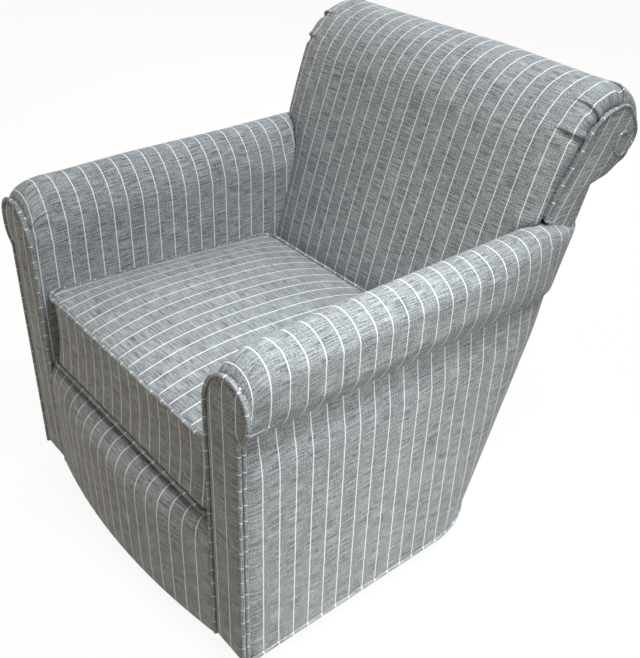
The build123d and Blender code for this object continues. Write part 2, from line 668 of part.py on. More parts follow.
# Pressed arms from the ring up to the lower plate
inner_r = PLATE_RADIUS - SPOKE_LAP
outer_r = RING_RADIUS - RING_WALL
rise_r = PLATE_RADIUS + SPOKE_BEND
foot_z = ring_top - SPOKE_DROP
t = SPOKE_THICKNESS
arm_edges_2d = Polyline(
    (outer_r, foot_z - t), (outer_r, foot_z), (outer_r - SPOKE_BEND, foot_z), (rise_r, PLATE_HEIGHT),
    (inner_r, PLATE_HEIGHT), (inner_r, PLATE_HEIGHT - t), (rise_r - t, PLATE_HEIGHT - t),
    (outer_r - SPOKE_BEND - t, foot_z - t), close=True)
spoke = extrude(Pos(0, SPOKE_WIDTH / 2, 0) * Rot(90, 0, 0) * make_face(arm_edges_2d.edges()), SPOKE_WIDTH)
spoke = spoke & disc(outer_r, 0, 2 * PLATE_HEIGHT)
spokes = [Rot(0, 0, 45 + 90 * i) * spoke for i in range(SPOKE_COUNT)]
save(Compound(children=spokes), "base_arms")

# Swivel plates with a cage of rollers between them
roller_z = (lower_top + upper_low) / 2
lower_plate = disc(PLATE_RADIUS, PLATE_HEIGHT, lower_top) - disc(PIN_RADIUS, 0, upper_top)
save(lower_plate, "lower_swivel_plate")
bolt_places = [(sx * BOLT_SPREAD, sy * CROSS_RAIL_OFFSET) for sx in (1, -1) for sy in (1, -1)]
upper_plate = disc(PLATE_RADIUS, upper_low, upper_top) - disc(PIN_RADIUS + RUN_GAP, 0, 2 * upper_top)
rollers = []
cage_sides = 3 * ROLLER_COUNT
cage = polygon(RACE_RADIUS + CAGE_WIDTH / 2, cage_sides, roller_z - CAGE_THICKNESS / 2,
               roller_z + CAGE_THICKNESS / 2)
cage = cage - polygon(RACE_RADIUS - CAGE_WIDTH / 2, cage_sides, 0, 2 * upper_top)
pocket_length = ROLLER_LENGTH + 2 * RUN_GAP
pocket_width = 2 * (ROLLER_RADIUS + RUN_GAP)
for place in PolarLocations(RACE_RADIUS, ROLLER_COUNT):
    seat = Pos(0, 0, roller_z) * place
    rollers.append(seat * Rot(0, 90, 0) * Cylinder(ROLLER_RADIUS, ROLLER_LENGTH))
    cage = cage - seat * Box(pocket_length, pocket_width, 2 * CAGE_THICKNESS)
save(Compound(children=rollers), "bearing_rollers")
save(cage, "roller_cage")

# Centre pin: headed under the lower plate, with its nut over the upper plate
nut_low = upper_top + END_PLAY
pin = disc(PIN_RADIUS, PLATE_HEIGHT, nut_low + PIN_HEAD_HEIGHT)
pin = pin + polygon(PIN_HEAD_RADIUS, 6, nut_low, nut_low + PIN_HEAD_HEIGHT)
pin = pin + polygon(PIN_HEAD_RADIUS, 6, PLATE_HEIGHT - PIN_HEAD_HEIGHT, PLATE_HEIGHT)
save(pin, "centre_pin")

# Cross rails carried on the upper plate, held by four bolts
rails = []
bolts = []
for x, y in bolt_places:
    shank = disc(BOLT_RADIUS, upper_low, rail_top, x, y)
    head = polygon(BOLT_HEAD_RADIUS, 6, rail_top, rail_top + BOLT_HEAD_HEIGHT, x, y)
    upper_plate = upper_plate - disc(BOLT_RADIUS, 0, 2 * upper_top, x, y)
    bolts.append(shank + head)
save(upper_plate, "upper_swivel_plate")
save(Compound(children=bolts), "plate_bolts")
for sign, name in ((-1, "front_cross_rail"), (1, "rear_cross_rail")):
    y = sign * CROSS_RAIL_OFFSET
    rail = box(-X_POST, X_POST, y - CROSS_RAIL_WIDTH / 2, y + CROSS_RAIL_WIDTH / 2, upper_top, rail_top)
    for x, hole_y in bolt_places:
        rail = rail - disc(BOLT_RADIUS, 0, 2 * rail_top, x, hole_y)
    save(rail, name)
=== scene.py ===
"""Upholstery, welts, finishes and stage of a pinstriped swivel chair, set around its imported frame."""

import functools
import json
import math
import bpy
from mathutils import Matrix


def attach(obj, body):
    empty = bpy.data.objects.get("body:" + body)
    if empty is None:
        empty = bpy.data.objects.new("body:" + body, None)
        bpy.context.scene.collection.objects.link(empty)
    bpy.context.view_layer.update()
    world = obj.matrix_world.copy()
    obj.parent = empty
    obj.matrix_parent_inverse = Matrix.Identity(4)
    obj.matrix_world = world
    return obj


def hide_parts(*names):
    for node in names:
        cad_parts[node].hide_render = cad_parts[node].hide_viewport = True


bl_info = {
    "name": "Pinstriped Swivel Chair",
    "version": (1, 0, 0),
    "blender": (4, 5, 0),
    "location": "3D View > Sidebar > Chair",
    "description": "Upholstery, welts and finishes of a rolled-arm swivel chair",
    "category": "Object",
}

import bmesh
import bpy
from mathutils import Matrix, Vector
from mathutils.geometry import barycentric_transform

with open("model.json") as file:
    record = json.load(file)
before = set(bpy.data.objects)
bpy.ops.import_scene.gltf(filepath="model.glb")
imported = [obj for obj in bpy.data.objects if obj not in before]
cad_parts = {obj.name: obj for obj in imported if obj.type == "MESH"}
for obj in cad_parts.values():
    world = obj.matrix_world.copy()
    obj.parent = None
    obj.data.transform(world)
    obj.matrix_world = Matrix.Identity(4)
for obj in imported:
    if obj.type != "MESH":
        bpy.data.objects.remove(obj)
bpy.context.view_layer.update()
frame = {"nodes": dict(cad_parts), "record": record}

# Body outline, in metres
SEAT_HALF = 0.285
SIDE = 0.370
ROLL_SIDE = 0.392
Y_FRONT = -0.4315
Y_ARM = -0.4215
Y_REAR = 0.4565
BOTTOM = 0.045
TUCK = 0.718
CORNER_R = 0.200
CORNER_TURN = math.radians(37)
CORNER_LENGTH = CORNER_R * CORNER_TURN
CORNER_RAKE = 0.358
CORNER_RUN = 0.086
TURN_LOW = 0.028
TIGHT = (0.090, 0.020)
HEADING = (math.radians(78), math.radians(86))
UNDERCUT = 0.006
ROLL_UNDERCUT = 0.012
REAR_PULL = 0.007

# Arms: front panel and full roll
PANEL = {"top": 0.629, "spring": 0.555, "apex": 0.044, "widest": 0.570, "crease": 0.530}
ROLL = {"top": 0.669, "spring": 0.575, "apex": 0.050, "widest": 0.582, "crease": 0.526}
ROLL_MIDDLE = Vector((0.338, 0.600))
PANEL_FOOT = 0.300
PANEL_OUT = 0.005
PANEL_CROWN = ((0.0045, 0.0002), (0.005, 0.0034), (0.008, 0.0016), (0.010, 0.0004))
ARM_END = 0.400
NOSE = 0.060
NOSE_RISE = 0.82
NOSE_SLOPE = 0.26
ROLL_TAPER = 0.016
GROOVE = (0.10, 0.05, 0.015)
ARM_PLEATS = ((30, 13), (60, 11))
ARM_SINK = 0.036
WALL = 0.012
WALL_FOOT = 0.290
CAVITY_TOP = 0.582

# Inside back and scroll
BACK_HALF = 0.351
BACK_FOOT = 0.300
BACK_PAD = 0.0542
FRONT_R = 0.130
REAR_R = 0.082
SCROLL_Y = Y_REAR - REAR_R
SCROLL_TOP = 0.896
SCROLL_DROP = 0.062
TUCK_R = 0.020
END_ROUND = 0.016
SCROLL_PLEATS = (59, 66, 76)
TUCK_IN = 0.008
FOLD_GROWTH = 0.55
LEAN_TOP = math.radians(20)
LEAN_FOOT = math.radians(13)
BACK_RAKE = 0.2962
BACK_REAR = 0.1011
FACING_CROWN = ((0.003, 0.0012), (0.005, 0.0008))
FACING_INSETS = (0.029, 0.046, 0.015)
FACING_IN = 0.012
FACING_OUT = 0.004
CURL = (0.410, 0.785)

# Seat, border and webbing
SEAT_Y = -0.424
SEAT_Z = 0.308
SEAT_PITCH = math.radians(3)
CUSHION_HALF = 0.2825
CUSHION_DEEP = 0.5247
CUSHION_CORNER = 0.034
BOXING_DRAW = (0.004, 0.007)
WELT_LOW = 0.004
WELT_HIGH = 0.152
BORDER_TOP = 0.297
BORDER_BACK = -0.4135
BOW = 0.027
BORDER_DROP = 0.002
DECK_HALF = 0.283
WEB_HALF = 0.025
WEB_X = 0.1056
WEB_Y = 0.1098

# Cloth: where the stripes of a part start, thickness, seams and filling
SIDE_STRIPE = 0.4195
SEAT_STRIPE = 0.0061
PANEL_STRIPE = 0.3045
PANEL_CLOTH = 0.005
SEAM = 0.001
WELT_SIDES = 10
WELT_OUT = 0.0015
WELT_SUNK = 0.003
FILL_FRAMES = 20
FILLING = {"quality": 4, "mass": 0.3, "tension_stiffness": 12, "compression_stiffness": 12,
           "shear_stiffness": 6, "bending_stiffness": 0.6, "use_pressure": True, "vertex_group_mass": "held"}

# Yarns of the ground: stretch across and along, shift, roughness and share
YARNS = ((26, 520, 0.0, 0.6, 0.48), (380, 860, 3.1, 0.6, 0.52),
         (760, 70, 7.7, 0.5, 0.16), (9, 22, 1.3, 0.5, 0.05))
YARN_RANGE = (0.465, 0.745)

# Camera: lens, shift, place and directions
LENS = 48.33
SHIFT = (-0.01707, 0.0157)
EYE = (1.14966, -0.95992, 1.3332)
RIGHT = Vector((0.64487, 0.7633, 0.03878))
DOWN = Vector((0.4435, -0.3324, -0.83236))
AHEAD = Vector((-0.62245, 0.55396, -0.55288))

# Lamps: place, aim, size, spread in degrees and tint
LAMPS = {
    "key": ((1.0, 0.1, 3.2), (0.1, 0, 0.5), 1.0, 180, (0.96, 0.99, 1.0)),
    "near": ((0.8, -0.3, 2.3), (0.40, -0.22, 0.65), 0.5, 30, (0.97, 1.0, 1.0)),
    "side": ((1.9, -0.3, 1.9), (0.40, -0.15, -0.08), 0.5, 40, (0.96, 1.0, 1.0)),
    "front": ((-0.9, -2.6, 0.45), (0, 0, 0.3), 0.8, 180, (1.0, 0.80, 0.55)),
    "rear": ((-1.6, 2.2, 2.0), (0, 0, 0.4), 2.0, 180, (0.86, 0.94, 1.0)),
}
SIDES = (("left", 1), ("right", -1))


def between(low, high, share):
    return low + (high - low) * share


def part_way(a, b, share):
    return tuple(between(p, q, share) for p, q in zip(a, b))


def spread(low, high, count):
    """Values from low to high, in count even steps."""
    return [between(low, high, k / count) for k in range(count + 1)]


def polar(centre, radius, turn):
    return centre[0] + radius * math.cos(turn), centre[1] + radius * math.sin(turn)


def soft_min(a, b, reach):
    """The smaller of two values, with a rounded change-over."""
    h = max(reach - abs(a - b), 0.0) / reach
    return min(a, b) - h * h * reach * 0.25


def clamp(value):
    return min(max(value, 0.0), 1.0)


def smooth_step(low, high, value):
    t = clamp((value - low) / (high - low))
    return t * t * (3 - 2 * t)


# The body in plan
def corner(side, z):
    """The rear corner at one height: where it starts, centre and radius of its tight arc, end of that arc."""
    share = (z - BOTTOM) / (TUCK - BOTTOM)
    turn = TURN_LOW + CORNER_RAKE * (z - BOTTOM)
    tight = between(*TIGHT, share)
    centre = polar((side - CORNER_R, turn), CORNER_R - tight, CORNER_TURN)
    return turn, centre, tight, between(*HEADING, share)


def back_y(z, x):
    """Depth of the outside back at a height and width."""
    turn, centre, tight, heading = corner(SIDE, z)
    px, py = polar(centre, tight, heading)
    if abs(x) > px:
        return centre[1] + math.sqrt(max(tight ** 2 - (abs(x) - centre[0]) ** 2, 0.0))
    middle = py + px / math.cos(heading) * (1 - math.sin(heading))
    return middle - (middle - py) * (x / px) ** 2


def body_at(side, z, run):
    """A point of the outline, run metres past the start of the rear corner."""
    turn, centre, tight, heading = corner(side, z)
    if run <= 0:
        return side, turn + run
    if run <= CORNER_LENGTH:
        return polar((side - CORNER_R, turn), CORNER_R, run / CORNER_R)
    t = CORNER_TURN + (run - CORNER_LENGTH) / tight
    if t <= heading:
        return polar(centre, tight, t)
    x = polar(centre, tight, heading)[0] - (t - heading) * tight
    return x, back_y(z, x)


def run_to(z, x):
    """How far past the corner's start the outline comes in to a width."""
    turn, centre, tight, heading = corner(SIDE, z)
    px = polar(centre, tight, heading)[0]
    if px < x:
        return CORNER_LENGTH + tight * (math.acos((x - centre[0]) / tight) - CORNER_TURN)
    return CORNER_LENGTH + tight * (heading - CORNER_TURN) + px - x


def plan_x(side, z, y):
    """Half width of the outline at a height and depth, and the depth where it closes."""
    turn, centre, tight, heading = corner(side, z)
    rear = centre[1] + tight * 0.98
    y = min(y, rear)
    if y <= turn:
        return side, rear
    if y - turn <= CORNER_R * math.sin(CORNER_TURN):
        return side - CORNER_R + math.sqrt(CORNER_R ** 2 - (y - turn) ** 2), rear
    return centre[0] + math.sqrt(tight ** 2 - (y - centre[1]) ** 2), rear


# Outlines as rows of stations
def arc(centre, radius, start, end, count):
    """Stations on an arc, without its first."""
    return [polar(centre, radius, math.radians(turn)) for turn in spread(start, end, count)[1:]]


def line(start, end, count):
    """Stations on a line, without its first."""
    return [part_way(start, end, share) for share in spread(0.0, 1.0, count)[1:]]


def legs(points, *ends):
    """Goes on from a row of points by lines, each with its end and its count of stations."""
    for end, count in ends:
        points = points + line(points[-1], end, count)
    return points


def roll_over(share, foot):
    """Arm section from the foot of the inside wall over the roll to the crease under it."""
    size = {key: between(PANEL[key], ROLL[key], share) for key in PANEL}
    apex = ROLL_SIDE - size["apex"]
    c = math.cos(math.radians(45))
    wide = apex - SEAT_HALF
    tall = size["top"] - size["spring"]
    inner = (tall * c - wide * (1 - c)) / (c * c - (1 - c) ** 2)
    upper = (wide - inner * (1 - c)) / c
    turn = (SEAT_HALF + inner * (1 - c), size["spring"] + inner * c)
    shoulder = size["top"] - size["apex"]
    over = ROLL_SIDE - SIDE
    fall = size["widest"] - size["crease"]
    lower = (over ** 2 + fall ** 2) / (2 * over)
    points = legs([(SEAT_HALF, foot)], ((SEAT_HALF, size["spring"]), 26))
    points += arc((SEAT_HALF + inner, size["spring"]), inner, 180, 135, 8)
    points += arc((turn[0] + upper * c, turn[1] - upper * c), upper, 135, 90, 8)
    points += arc((apex, shoulder), size["apex"], 90, 0, 10)
    points += line((ROLL_SIDE, shoulder), (ROLL_SIDE, size["widest"]), 3)
    points += arc((ROLL_SIDE - lower, size["widest"]), lower, 0, -math.degrees(math.asin(fall / lower)), 10)
    return points


ROLL_POINTS = roll_over(1.0, WALL_FOOT)


def roll_inner_x(z):
    """Where the inside of the roll reaches a height."""
    for low, high in zip(ROLL_POINTS, ROLL_POINTS[1:43]):
        if low[1] <= z <= high[1] and high[1] > low[1]:
            return between(low[0], high[0], (z - low[1]) / (high[1] - low[1]))
    return BACK_HALF if z > ROLL["top"] - 0.01 else SEAT_HALF


TOUCH_Z = SCROLL_TOP - FRONT_R + FRONT_R * math.sin(LEAN_TOP)
BELLY_R = (TOUCH_Z - BACK_FOOT) / (math.sin(LEAN_TOP) - math.sin(LEAN_FOOT))
BELLY = (SCROLL_Y + (BELLY_R - FRONT_R) * math.cos(LEAN_TOP),
         SCROLL_TOP - FRONT_R - (BELLY_R - FRONT_R) * math.sin(LEAN_TOP))


def scroll_over(inset, foot=BACK_FOOT):
    """Back profile in depth and height, from its foot up the front, over the scroll and under its tuck."""
    radius = BELLY_R - inset
    low = math.asin((foot - BELLY[1]) / radius)
    points = [(BELLY[0] - radius * math.cos(low), foot)]
    points += arc(BELLY, radius, 180 - math.degrees(low), 180 - math.degrees(LEAN_TOP), 56)
    points += arc((SCROLL_Y, SCROLL_TOP - FRONT_R), FRONT_R - inset, 180 - math.degrees(LEAN_TOP), 90, 18)
    points += arc((SCROLL_Y, SCROLL_TOP - REAR_R), REAR_R - inset, 90, 0, 14)
    drop = (Y_REAR - inset, SCROLL_TOP - REAR_R - SCROLL_DROP + inset)
    points += line(points[-1], drop, 6)
    points += arc((drop[0] - TUCK_R, drop[1]), TUCK_R, 0, -90, 5)
    points += line(points[-1], (back_y(TUCK, 0) - inset, TUCK + inset * 0.4), 5)
    return points


def lengths(points):
    """Distance along a row of points, at each of them."""
    run = [0.0]
    for a, b in zip(points, points[1:]):
        run.append(run[-1] + math.dist(a, b))
    return run


def seat_point(x, y, z):
    """A point of the pitched seat in the chair's frame."""
    c = math.cos(SEAT_PITCH)
    s = math.sin(SEAT_PITCH)
    return Vector((x, SEAT_Y + y * c + z * s, SEAT_Z - y * s + z * c))


# Mesh helpers
def mesh_of(name, bm, material):
    """A smooth mesh of one material, from a bmesh."""
    mesh = bpy.data.meshes.new(name)
    bm.to_mesh(mesh)
    bm.free()
    mesh.shade_smooth()
    mesh.materials.append(material)
    return mesh


def add_object(name, data):
    thing = bpy.data.objects.new(name, data)
    bpy.context.scene.collection.objects.link(thing)
    return thing


def finish_piece(name, bm, nodes=(), slot="striped_fabric", body="chair"):
    """Turns a bmesh into a piece that rides on a body and stands for its CAD nodes."""
    piece = add_object(name, mesh_of(name, bm, fabric() if slot == "striped_fabric" else finish_of(slot)))
    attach(piece, body)
    if nodes:
        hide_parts(*nodes)
    return piece


def points_of(items):
    return [item for item in items if isinstance(item, bmesh.types.BMVert)]


def faces_of(items):
    return [item for item in items if isinstance(item, bmesh.types.BMFace)]


def grid(across, along, place, cloth, held=None):
    """A grid whose points and cloth directions come from its station numbers."""
    bm = bmesh.new()
    bmesh.ops.create_grid(bm, x_segments=across, y_segments=along, size=0.5)
    uv = bm.loops.layers.uv.new("cloth")
    pins = bm.verts.layers.deform.verify()
    for face in bm.faces:
        for loop in face.loops:
            at = loop.vert.co
            loop[uv].uv = cloth(round((at.x + 0.5) * across), round((at.y + 0.5) * along))
    for vert in bm.verts:
        i = round((vert.co.x + 0.5) * across)
        j = round((vert.co.y + 0.5) * along)
        vert.co = place(i, j)
        if held:
            vert[pins][0] = float(held(i, j))
    return bm


def close(bm):
    """Welds the seam of a sleeve and caps its ends."""
    bmesh.ops.remove_doubles(bm, verts=bm.verts, dist=1e-6)
    rims = [edge for edge in bm.edges if edge.is_boundary]
    if rims:
        caps = bmesh.ops.holes_fill(bm, edges=rims, sides=0)["faces"]
        bmesh.ops.triangulate(bm, faces=caps)
    bmesh.ops.recalc_face_normals(bm, faces=bm.faces)
    return bm


def thicken(bm, thickness, outward):
    """Gives a panel its thickness, away from the side that shows."""
    bm.normal_update()
    total = sum((face.normal * face.calc_area() for face in bm.faces), Vector())
    if total.dot(outward) < 0:
        bmesh.ops.reverse_faces(bm, faces=bm.faces)
        bm.normal_update()
    way = bm.verts.layers.float_vector.new("way")
    for vert in bm.verts:
        vert[way] = vert.normal
    made = bmesh.ops.extrude_face_region(bm, geom=bm.faces[:], use_keep_orig=True)["geom"]
    for vert in points_of(made):
        vert.co -= vert[way] * thickness
    bm.verts.layers.float_vector.remove(way)
    bmesh.ops.recalc_face_normals(bm, faces=bm.faces)
    return bm


def faced(outline, out, crown, cloth, even_offset):
    """A panel pushed out from its outline, its front crowned in steps towards the middle."""
    bm = bmesh.new()
    face = bm.faces.new([bm.verts.new(point) for point in outline])
    bm.normal_update()
    if face.normal.dot(out) < 0:
        bmesh.ops.reverse_faces(bm, faces=[face])
    made = bmesh.ops.extrude_face_region(bm, geom=[face])["geom"]
    bmesh.ops.translate(bm, verts=points_of(made), vec=out)
    front = faces_of(made)
    for thickness, depth in crown:
        bmesh.ops.inset_region(bm, faces=front, thickness=thickness, depth=depth, use_even_offset=even_offset)
    bmesh.ops.recalc_face_normals(bm, faces=bm.faces)
    uv = bm.loops.layers.uv.new("cloth")
    for item in bm.faces:
        for loop in item.loops:
            loop[uv].uv = cloth(loop.vert.co)
    return bm


def swell(piece, cap):
    """Fills a closed cover with pressure and keeps each point within its cap."""
    scene = bpy.context.scene
    rest = [vert.co.copy() for vert in piece.data.vertices]
    piece.vertex_groups.new(name="held")
    filling = piece.modifiers.new("Cloth", "CLOTH")
    for key, value in FILLING.items():
        setattr(filling.settings, key, value)
    filling.settings.uniform_pressure_force = scene.chair_cloth.pressure
    filling.settings.effector_weights.gravity = 0
    filling.point_cache.frame_start = 1
    filling.point_cache.frame_end = FILL_FRAMES
    for number in range(1, FILL_FRAMES + 1):
        scene.frame_set(number)
    shaped = piece.evaluated_get(bpy.context.evaluated_depsgraph_get()).to_mesh()
    moved = [vert.co.copy() for vert in shaped.vertices]
    piece.modifiers.remove(filling)
    scene.frame_set(1)
    for vert, start, end in zip(piece.data.vertices, rest, moved):
        step = end - start
        most = cap(start)
        if step.length > most:
            step *= most / step.length
        vert.co = start + step


def refine(piece):
    """One round of subdivision, applied."""
    rounder = piece.modifiers.new("Subdivision", "SUBSURF")
    rounder.levels = 1
    rounder.boundary_smooth = "PRESERVE_CORNERS"
    mesh = bpy.data.meshes.new_from_object(piece.evaluated_get(bpy.context.evaluated_depsgraph_get()))
    piece.modifiers.remove(rounder)
    old = piece.data
    piece.data = mesh
    mesh.name = piece.name
    bpy.data.meshes.remove(old)
    mesh.shade_smooth()


def welt(name, points, step, body="chair", closed=False, offset=0.0):
    """A sewn cord in even steps along a path, its stripes crossing it at the cloth's pitch."""
    radius = bpy.context.scene.chair_cloth.welt_radius
    path = even(points, step)
    if closed:
        path.pop()
    count = len(path)
    turns = [math.tau * k / WELT_SIDES for k in range(WELT_SIDES + 1)]
    up = Vector((0.31, 0.17, 0.93))
    rings = []
    for k, point in enumerate(path):
        before = path[k - 1] if k or closed else point
        after = path[(k + 1) % count] if k < count - 1 or closed else point
        ahead = (after - before).normalized()
        side = ahead.cross(up).normalized()
        up = side.cross(ahead).normalized()
        rings.append([point + (up * math.cos(t) - side * math.sin(t)) * radius for t in turns])
    runs = lengths(path + path[:1])
    if closed:
        rings.append(rings[0])

    def cloth(i, j):
        return offset + runs[j], i * radius * 0.63

    bm = grid(WELT_SIDES, len(rings) - 1, lambda i, j: rings[j][i], cloth)
    finish_piece(name, close(bm), body=body)


def cloth_at(mesh, index, point):
    """Cloth direction of a mesh at a point of one of its faces."""
    face = mesh.polygons[index]
    corners = [mesh.vertices[k].co for k in face.vertices[:3]]
    layer = mesh.uv_layers["cloth"].data
    return barycentric_transform(point, *corners, *[layer[k].uv.to_3d() for k in face.loop_indices[:3]])


def pleats(piece, folds, turn, width, height):
    """Lays folds of spare cloth on a piece, each along a path from where it dies out to its seam."""
    bpy.context.view_layer.update()
    together = [piece]
    for path in folds:
        rows = []
        for k, point in enumerate(path):
            share = (k + 0.5) / len(path)
            wide = width * between(0.35, 1.0, share)
            high = height * min(2.2 * share, 1.0)
            ahead = path[min(k + 1, len(path) - 1)] - path[max(k - 1, 0)]
            found, at, normal, index = piece.closest_point_on_mesh(point)
            side = normal.cross(ahead).normalized() * turn
            under = ((0.0030, -0.0020), (-0.0010, 0.5 * high))
            section = under + ((0.0004, high), (0.45 * wide, 0.6 * high), (wide, -0.0010))
            row = []
            for out, up in section:
                found, near, way, index = piece.closest_point_on_mesh(at + side * out)
                row.append((near + way * up, cloth_at(piece.data, index, near)))
            rows.append(row)
        bm = grid(4, len(path) - 1, lambda i, j: rows[j][i][0], lambda i, j: rows[j][i][1].xy)
        thicken(bm, 0.0008, normal)
        together.append(add_object("pleat", mesh_of("pleat", bm, fabric())))
    with bpy.context.temp_override(active_object=piece, object=piece, selected_objects=together,
                                   selected_editable_objects=together):
        bpy.ops.object.join()


def even(points, step):
    """The same path with its points a step apart."""
    run = lengths(points)
    count = max(int(run[-1] / step), 2)
    made = []
    k = 0
    for n in range(count + 1):
        want = run[-1] * n / count
        while k < len(run) - 2 and run[k + 1] < want:
            k += 1
        share = (want - run[k]) / max(run[k + 1] - run[k], 1e-9)
        made.append(Vector(points[k]).lerp(Vector(points[k + 1]), clamp(share)))
    return made


# Material helpers
class Graph:
    """Short ways to add and join shader nodes."""

    def __init__(self, tree):
        self.tree = tree

    def put(self, node, sockets):
        """Gives sockets of a node, named or numbered, a value or another node's output."""
        for key, value in sockets.items():
            if isinstance(value, bpy.types.NodeSocket):
                self.tree.links.new(value, node.inputs[key])
            else:
                node.inputs[key].default_value = value
        return node

    def add(self, kind, sockets=None, **settings):
        node = self.tree.nodes.new(kind)
        for key, value in settings.items():
            setattr(node, key, value)
        return self.put(node, sockets or {})

    def math(self, operation, a, b=0.0, clamp=False):
        return self.add("ShaderNodeMath", {0: a, 1: b}, operation=operation, use_clamp=clamp).outputs[0]

    def plus(self, a, b):
        return self.math("ADD", a, b)

    def minus(self, a, b):
        return self.math("SUBTRACT", a, b)

    def times(self, a, b):
        return self.math("MULTIPLY", a, b)

    def mix(self, share, a, b):
        return self.add("ShaderNodeMix", {0: share, 6: a, 7: b}, data_type="RGBA").outputs[2]

    def range(self, value, low, high, new_low=0.0, new_high=1.0):
        sockets = dict(enumerate((value, low, high, new_low, new_high)))
        return self.add("ShaderNodeMapRange", sockets, interpolation_type="SMOOTHSTEP").outputs[0]

    def noise(self, vector, stretch, shift=0.0, detail=2.0, roughness=0.55):
        """Noise in a stretched space, moved aside by a shift."""
        place = {"Vector": vector, "Scale": stretch, "Location": (shift, shift * 1.7, shift * 0.6)}
        where = self.add("ShaderNodeMapping", place).outputs[0]
        grain = {"Vector": where, "Scale": 1.0, "Detail": detail, "Roughness": roughness}
        return self.add("ShaderNodeTexNoise", grain).outputs["Fac"]

    def bump(self, height, strength, distance):
        sockets = {"Strength": strength, "Distance": distance, "Height": height}
        return self.add("ShaderNodeBump", sockets).outputs[0]


def pinstripe_group():
    """Heathered plain weave with a thin woven stripe, read from cloth directions in metres."""
    group = bpy.data.node_groups.new("pinstripe cloth", "ShaderNodeTree")
    given = {"Cloth": "Vector", "Dark": "Color", "Light": "Color", "Stripe": "Color",
             "Pitch": "Float", "Width": "Float"}
    made = {"Colour": "Color", "Height": "Float"}
    for way, sockets in (("INPUT", given), ("OUTPUT", made)):
        for name, kind in sockets.items():
            group.interface.new_socket(name, in_out=way, socket_type="NodeSocket" + kind)
    g = Graph(group)
    given = g.add("NodeGroupInput").outputs
    cloth = given["Cloth"]
    # thick and thin weft yarns run across the stripes
    tone = 0.0
    for across, along, shift, roughness, share in YARNS:
        yarn = g.noise(cloth, (across, along, 1), shift, roughness=roughness)
        tone = g.plus(g.times(yarn, share), tone)
    ground = g.mix(g.range(tone, *YARN_RANGE), given["Dark"], given["Light"])
    # the stripe wavers a little and is nipped by the weft
    x = g.add("ShaderNodeSeparateXYZ", {0: cloth}).outputs[0]
    waver = g.times(g.minus(g.noise(cloth, (6, 60, 1), 5.0), 0.5), 0.0016)
    place = g.math("DIVIDE", g.plus(x, waver), given["Pitch"])
    away = g.math("ABSOLUTE", g.minus(g.math("FRACT", g.plus(place, 0.5)), 0.5))
    away = g.times(away, given["Pitch"])
    core = g.times(given["Width"], 0.375)
    edge = g.times(given["Width"], 0.625)
    nips = g.range(g.noise(cloth, (300, 700, 1), 2.0), 0.28, 0.5, 0.7, 1.0)
    stripe = g.times(g.range(away, core, edge, 1.0, 0.0), nips)
    height = g.plus(g.times(tone, 0.7), g.times(stripe, 0.25))
    g.add("NodeGroupOutput", {"Colour": g.mix(stripe, ground, given["Stripe"]), "Height": height})
    return group


def new_material(name, roughness, metallic=0.0):
    material = bpy.data.materials.new(name)
    material.use_nodes = True
    g = Graph(material.node_tree)
    shader = g.tree.nodes["Principled BSDF"]
    g.put(shader, {"Roughness": roughness, "Metallic": metallic})
    return material, g, shader


def make_fabric(name):
    """The striped upholstery cloth."""
    sizes = bpy.context.scene.chair_cloth
    material, g, shader = new_material(name, 0.92)
    weave = g.add("ShaderNodeGroup", node_tree=pinstripe_group())
    g.put(weave, {"Cloth": g.add("ShaderNodeUVMap", uv_map="cloth").outputs[0],
                  "Dark": tuple(sizes.dark_yarn) + (1.0,),
                  "Light": tuple(sizes.light_yarn) + (1.0,),
                  "Stripe": tuple(sizes.stripe_yarn) + (1.0,),
                  "Pitch": sizes.stripe_pitch,
                  "Width": sizes.stripe_width})
    g.put(shader, {"Base Color": weave.outputs["Colour"],
                   "Specular IOR Level": 0.2,
                   "Sheen Weight": 0.12,
                   "Sheen Roughness": 0.5,
                   "Normal": g.bump(weave.outputs["Height"], 0.35, 0.0012)})
    return material


def make_plain(name, low, high, roughness, metallic, stretch, strength):
    """A finish with its own grain, spread between two tones."""
    material, g, shader = new_material(name, roughness, metallic)
    grain = g.noise(g.add("ShaderNodeTexCoord").outputs["Object"], stretch, detail=5.0, roughness=0.6)
    g.put(shader, {"Base Color": g.mix(g.range(grain, 0.3, 0.7), low + (1.0,), high + (1.0,)),
                   "Roughness": g.range(grain, 0.25, 0.75, roughness - 0.08, roughness + 0.1),
                   "Normal": g.bump(grain, strength, 0.001)})
    return material


FINISHES = {
    "frame_wood": ((0.42, 0.27, 0.14), (0.58, 0.41, 0.24), 0.6, 0.0, (14, 3, 60), 0.2),
    "lining": ((0.012, 0.012, 0.013), (0.03, 0.03, 0.032), 0.9, 0.0, (500, 500, 500), 0.25),
    "webbing": ((0.30, 0.22, 0.13), (0.42, 0.33, 0.21), 0.9, 0.0, (300, 300, 80), 0.4),
    "foam": ((0.70, 0.66, 0.52), (0.80, 0.77, 0.64), 0.9, 0.0, (250, 250, 250), 0.4),
    "base_paint": ((0.010, 0.010, 0.011), (0.022, 0.022, 0.023), 0.42, 0.0, (220, 220, 220), 0.1),
    "bare_steel": ((0.50, 0.51, 0.52), (0.66, 0.66, 0.66), 0.34, 1.0, (90, 90, 300), 0.06),
    "nylon": ((0.62, 0.61, 0.58), (0.72, 0.71, 0.68), 0.5, 0.0, (160, 160, 160), 0.06),
    "zip_nylon": ((0.10, 0.105, 0.11), (0.24, 0.245, 0.25), 0.75),
    "zip_metal": ((0.36, 0.35, 0.33), (0.52, 0.51, 0.48), 0.36, 1.0, (160, 160, 160), 0.08),
}


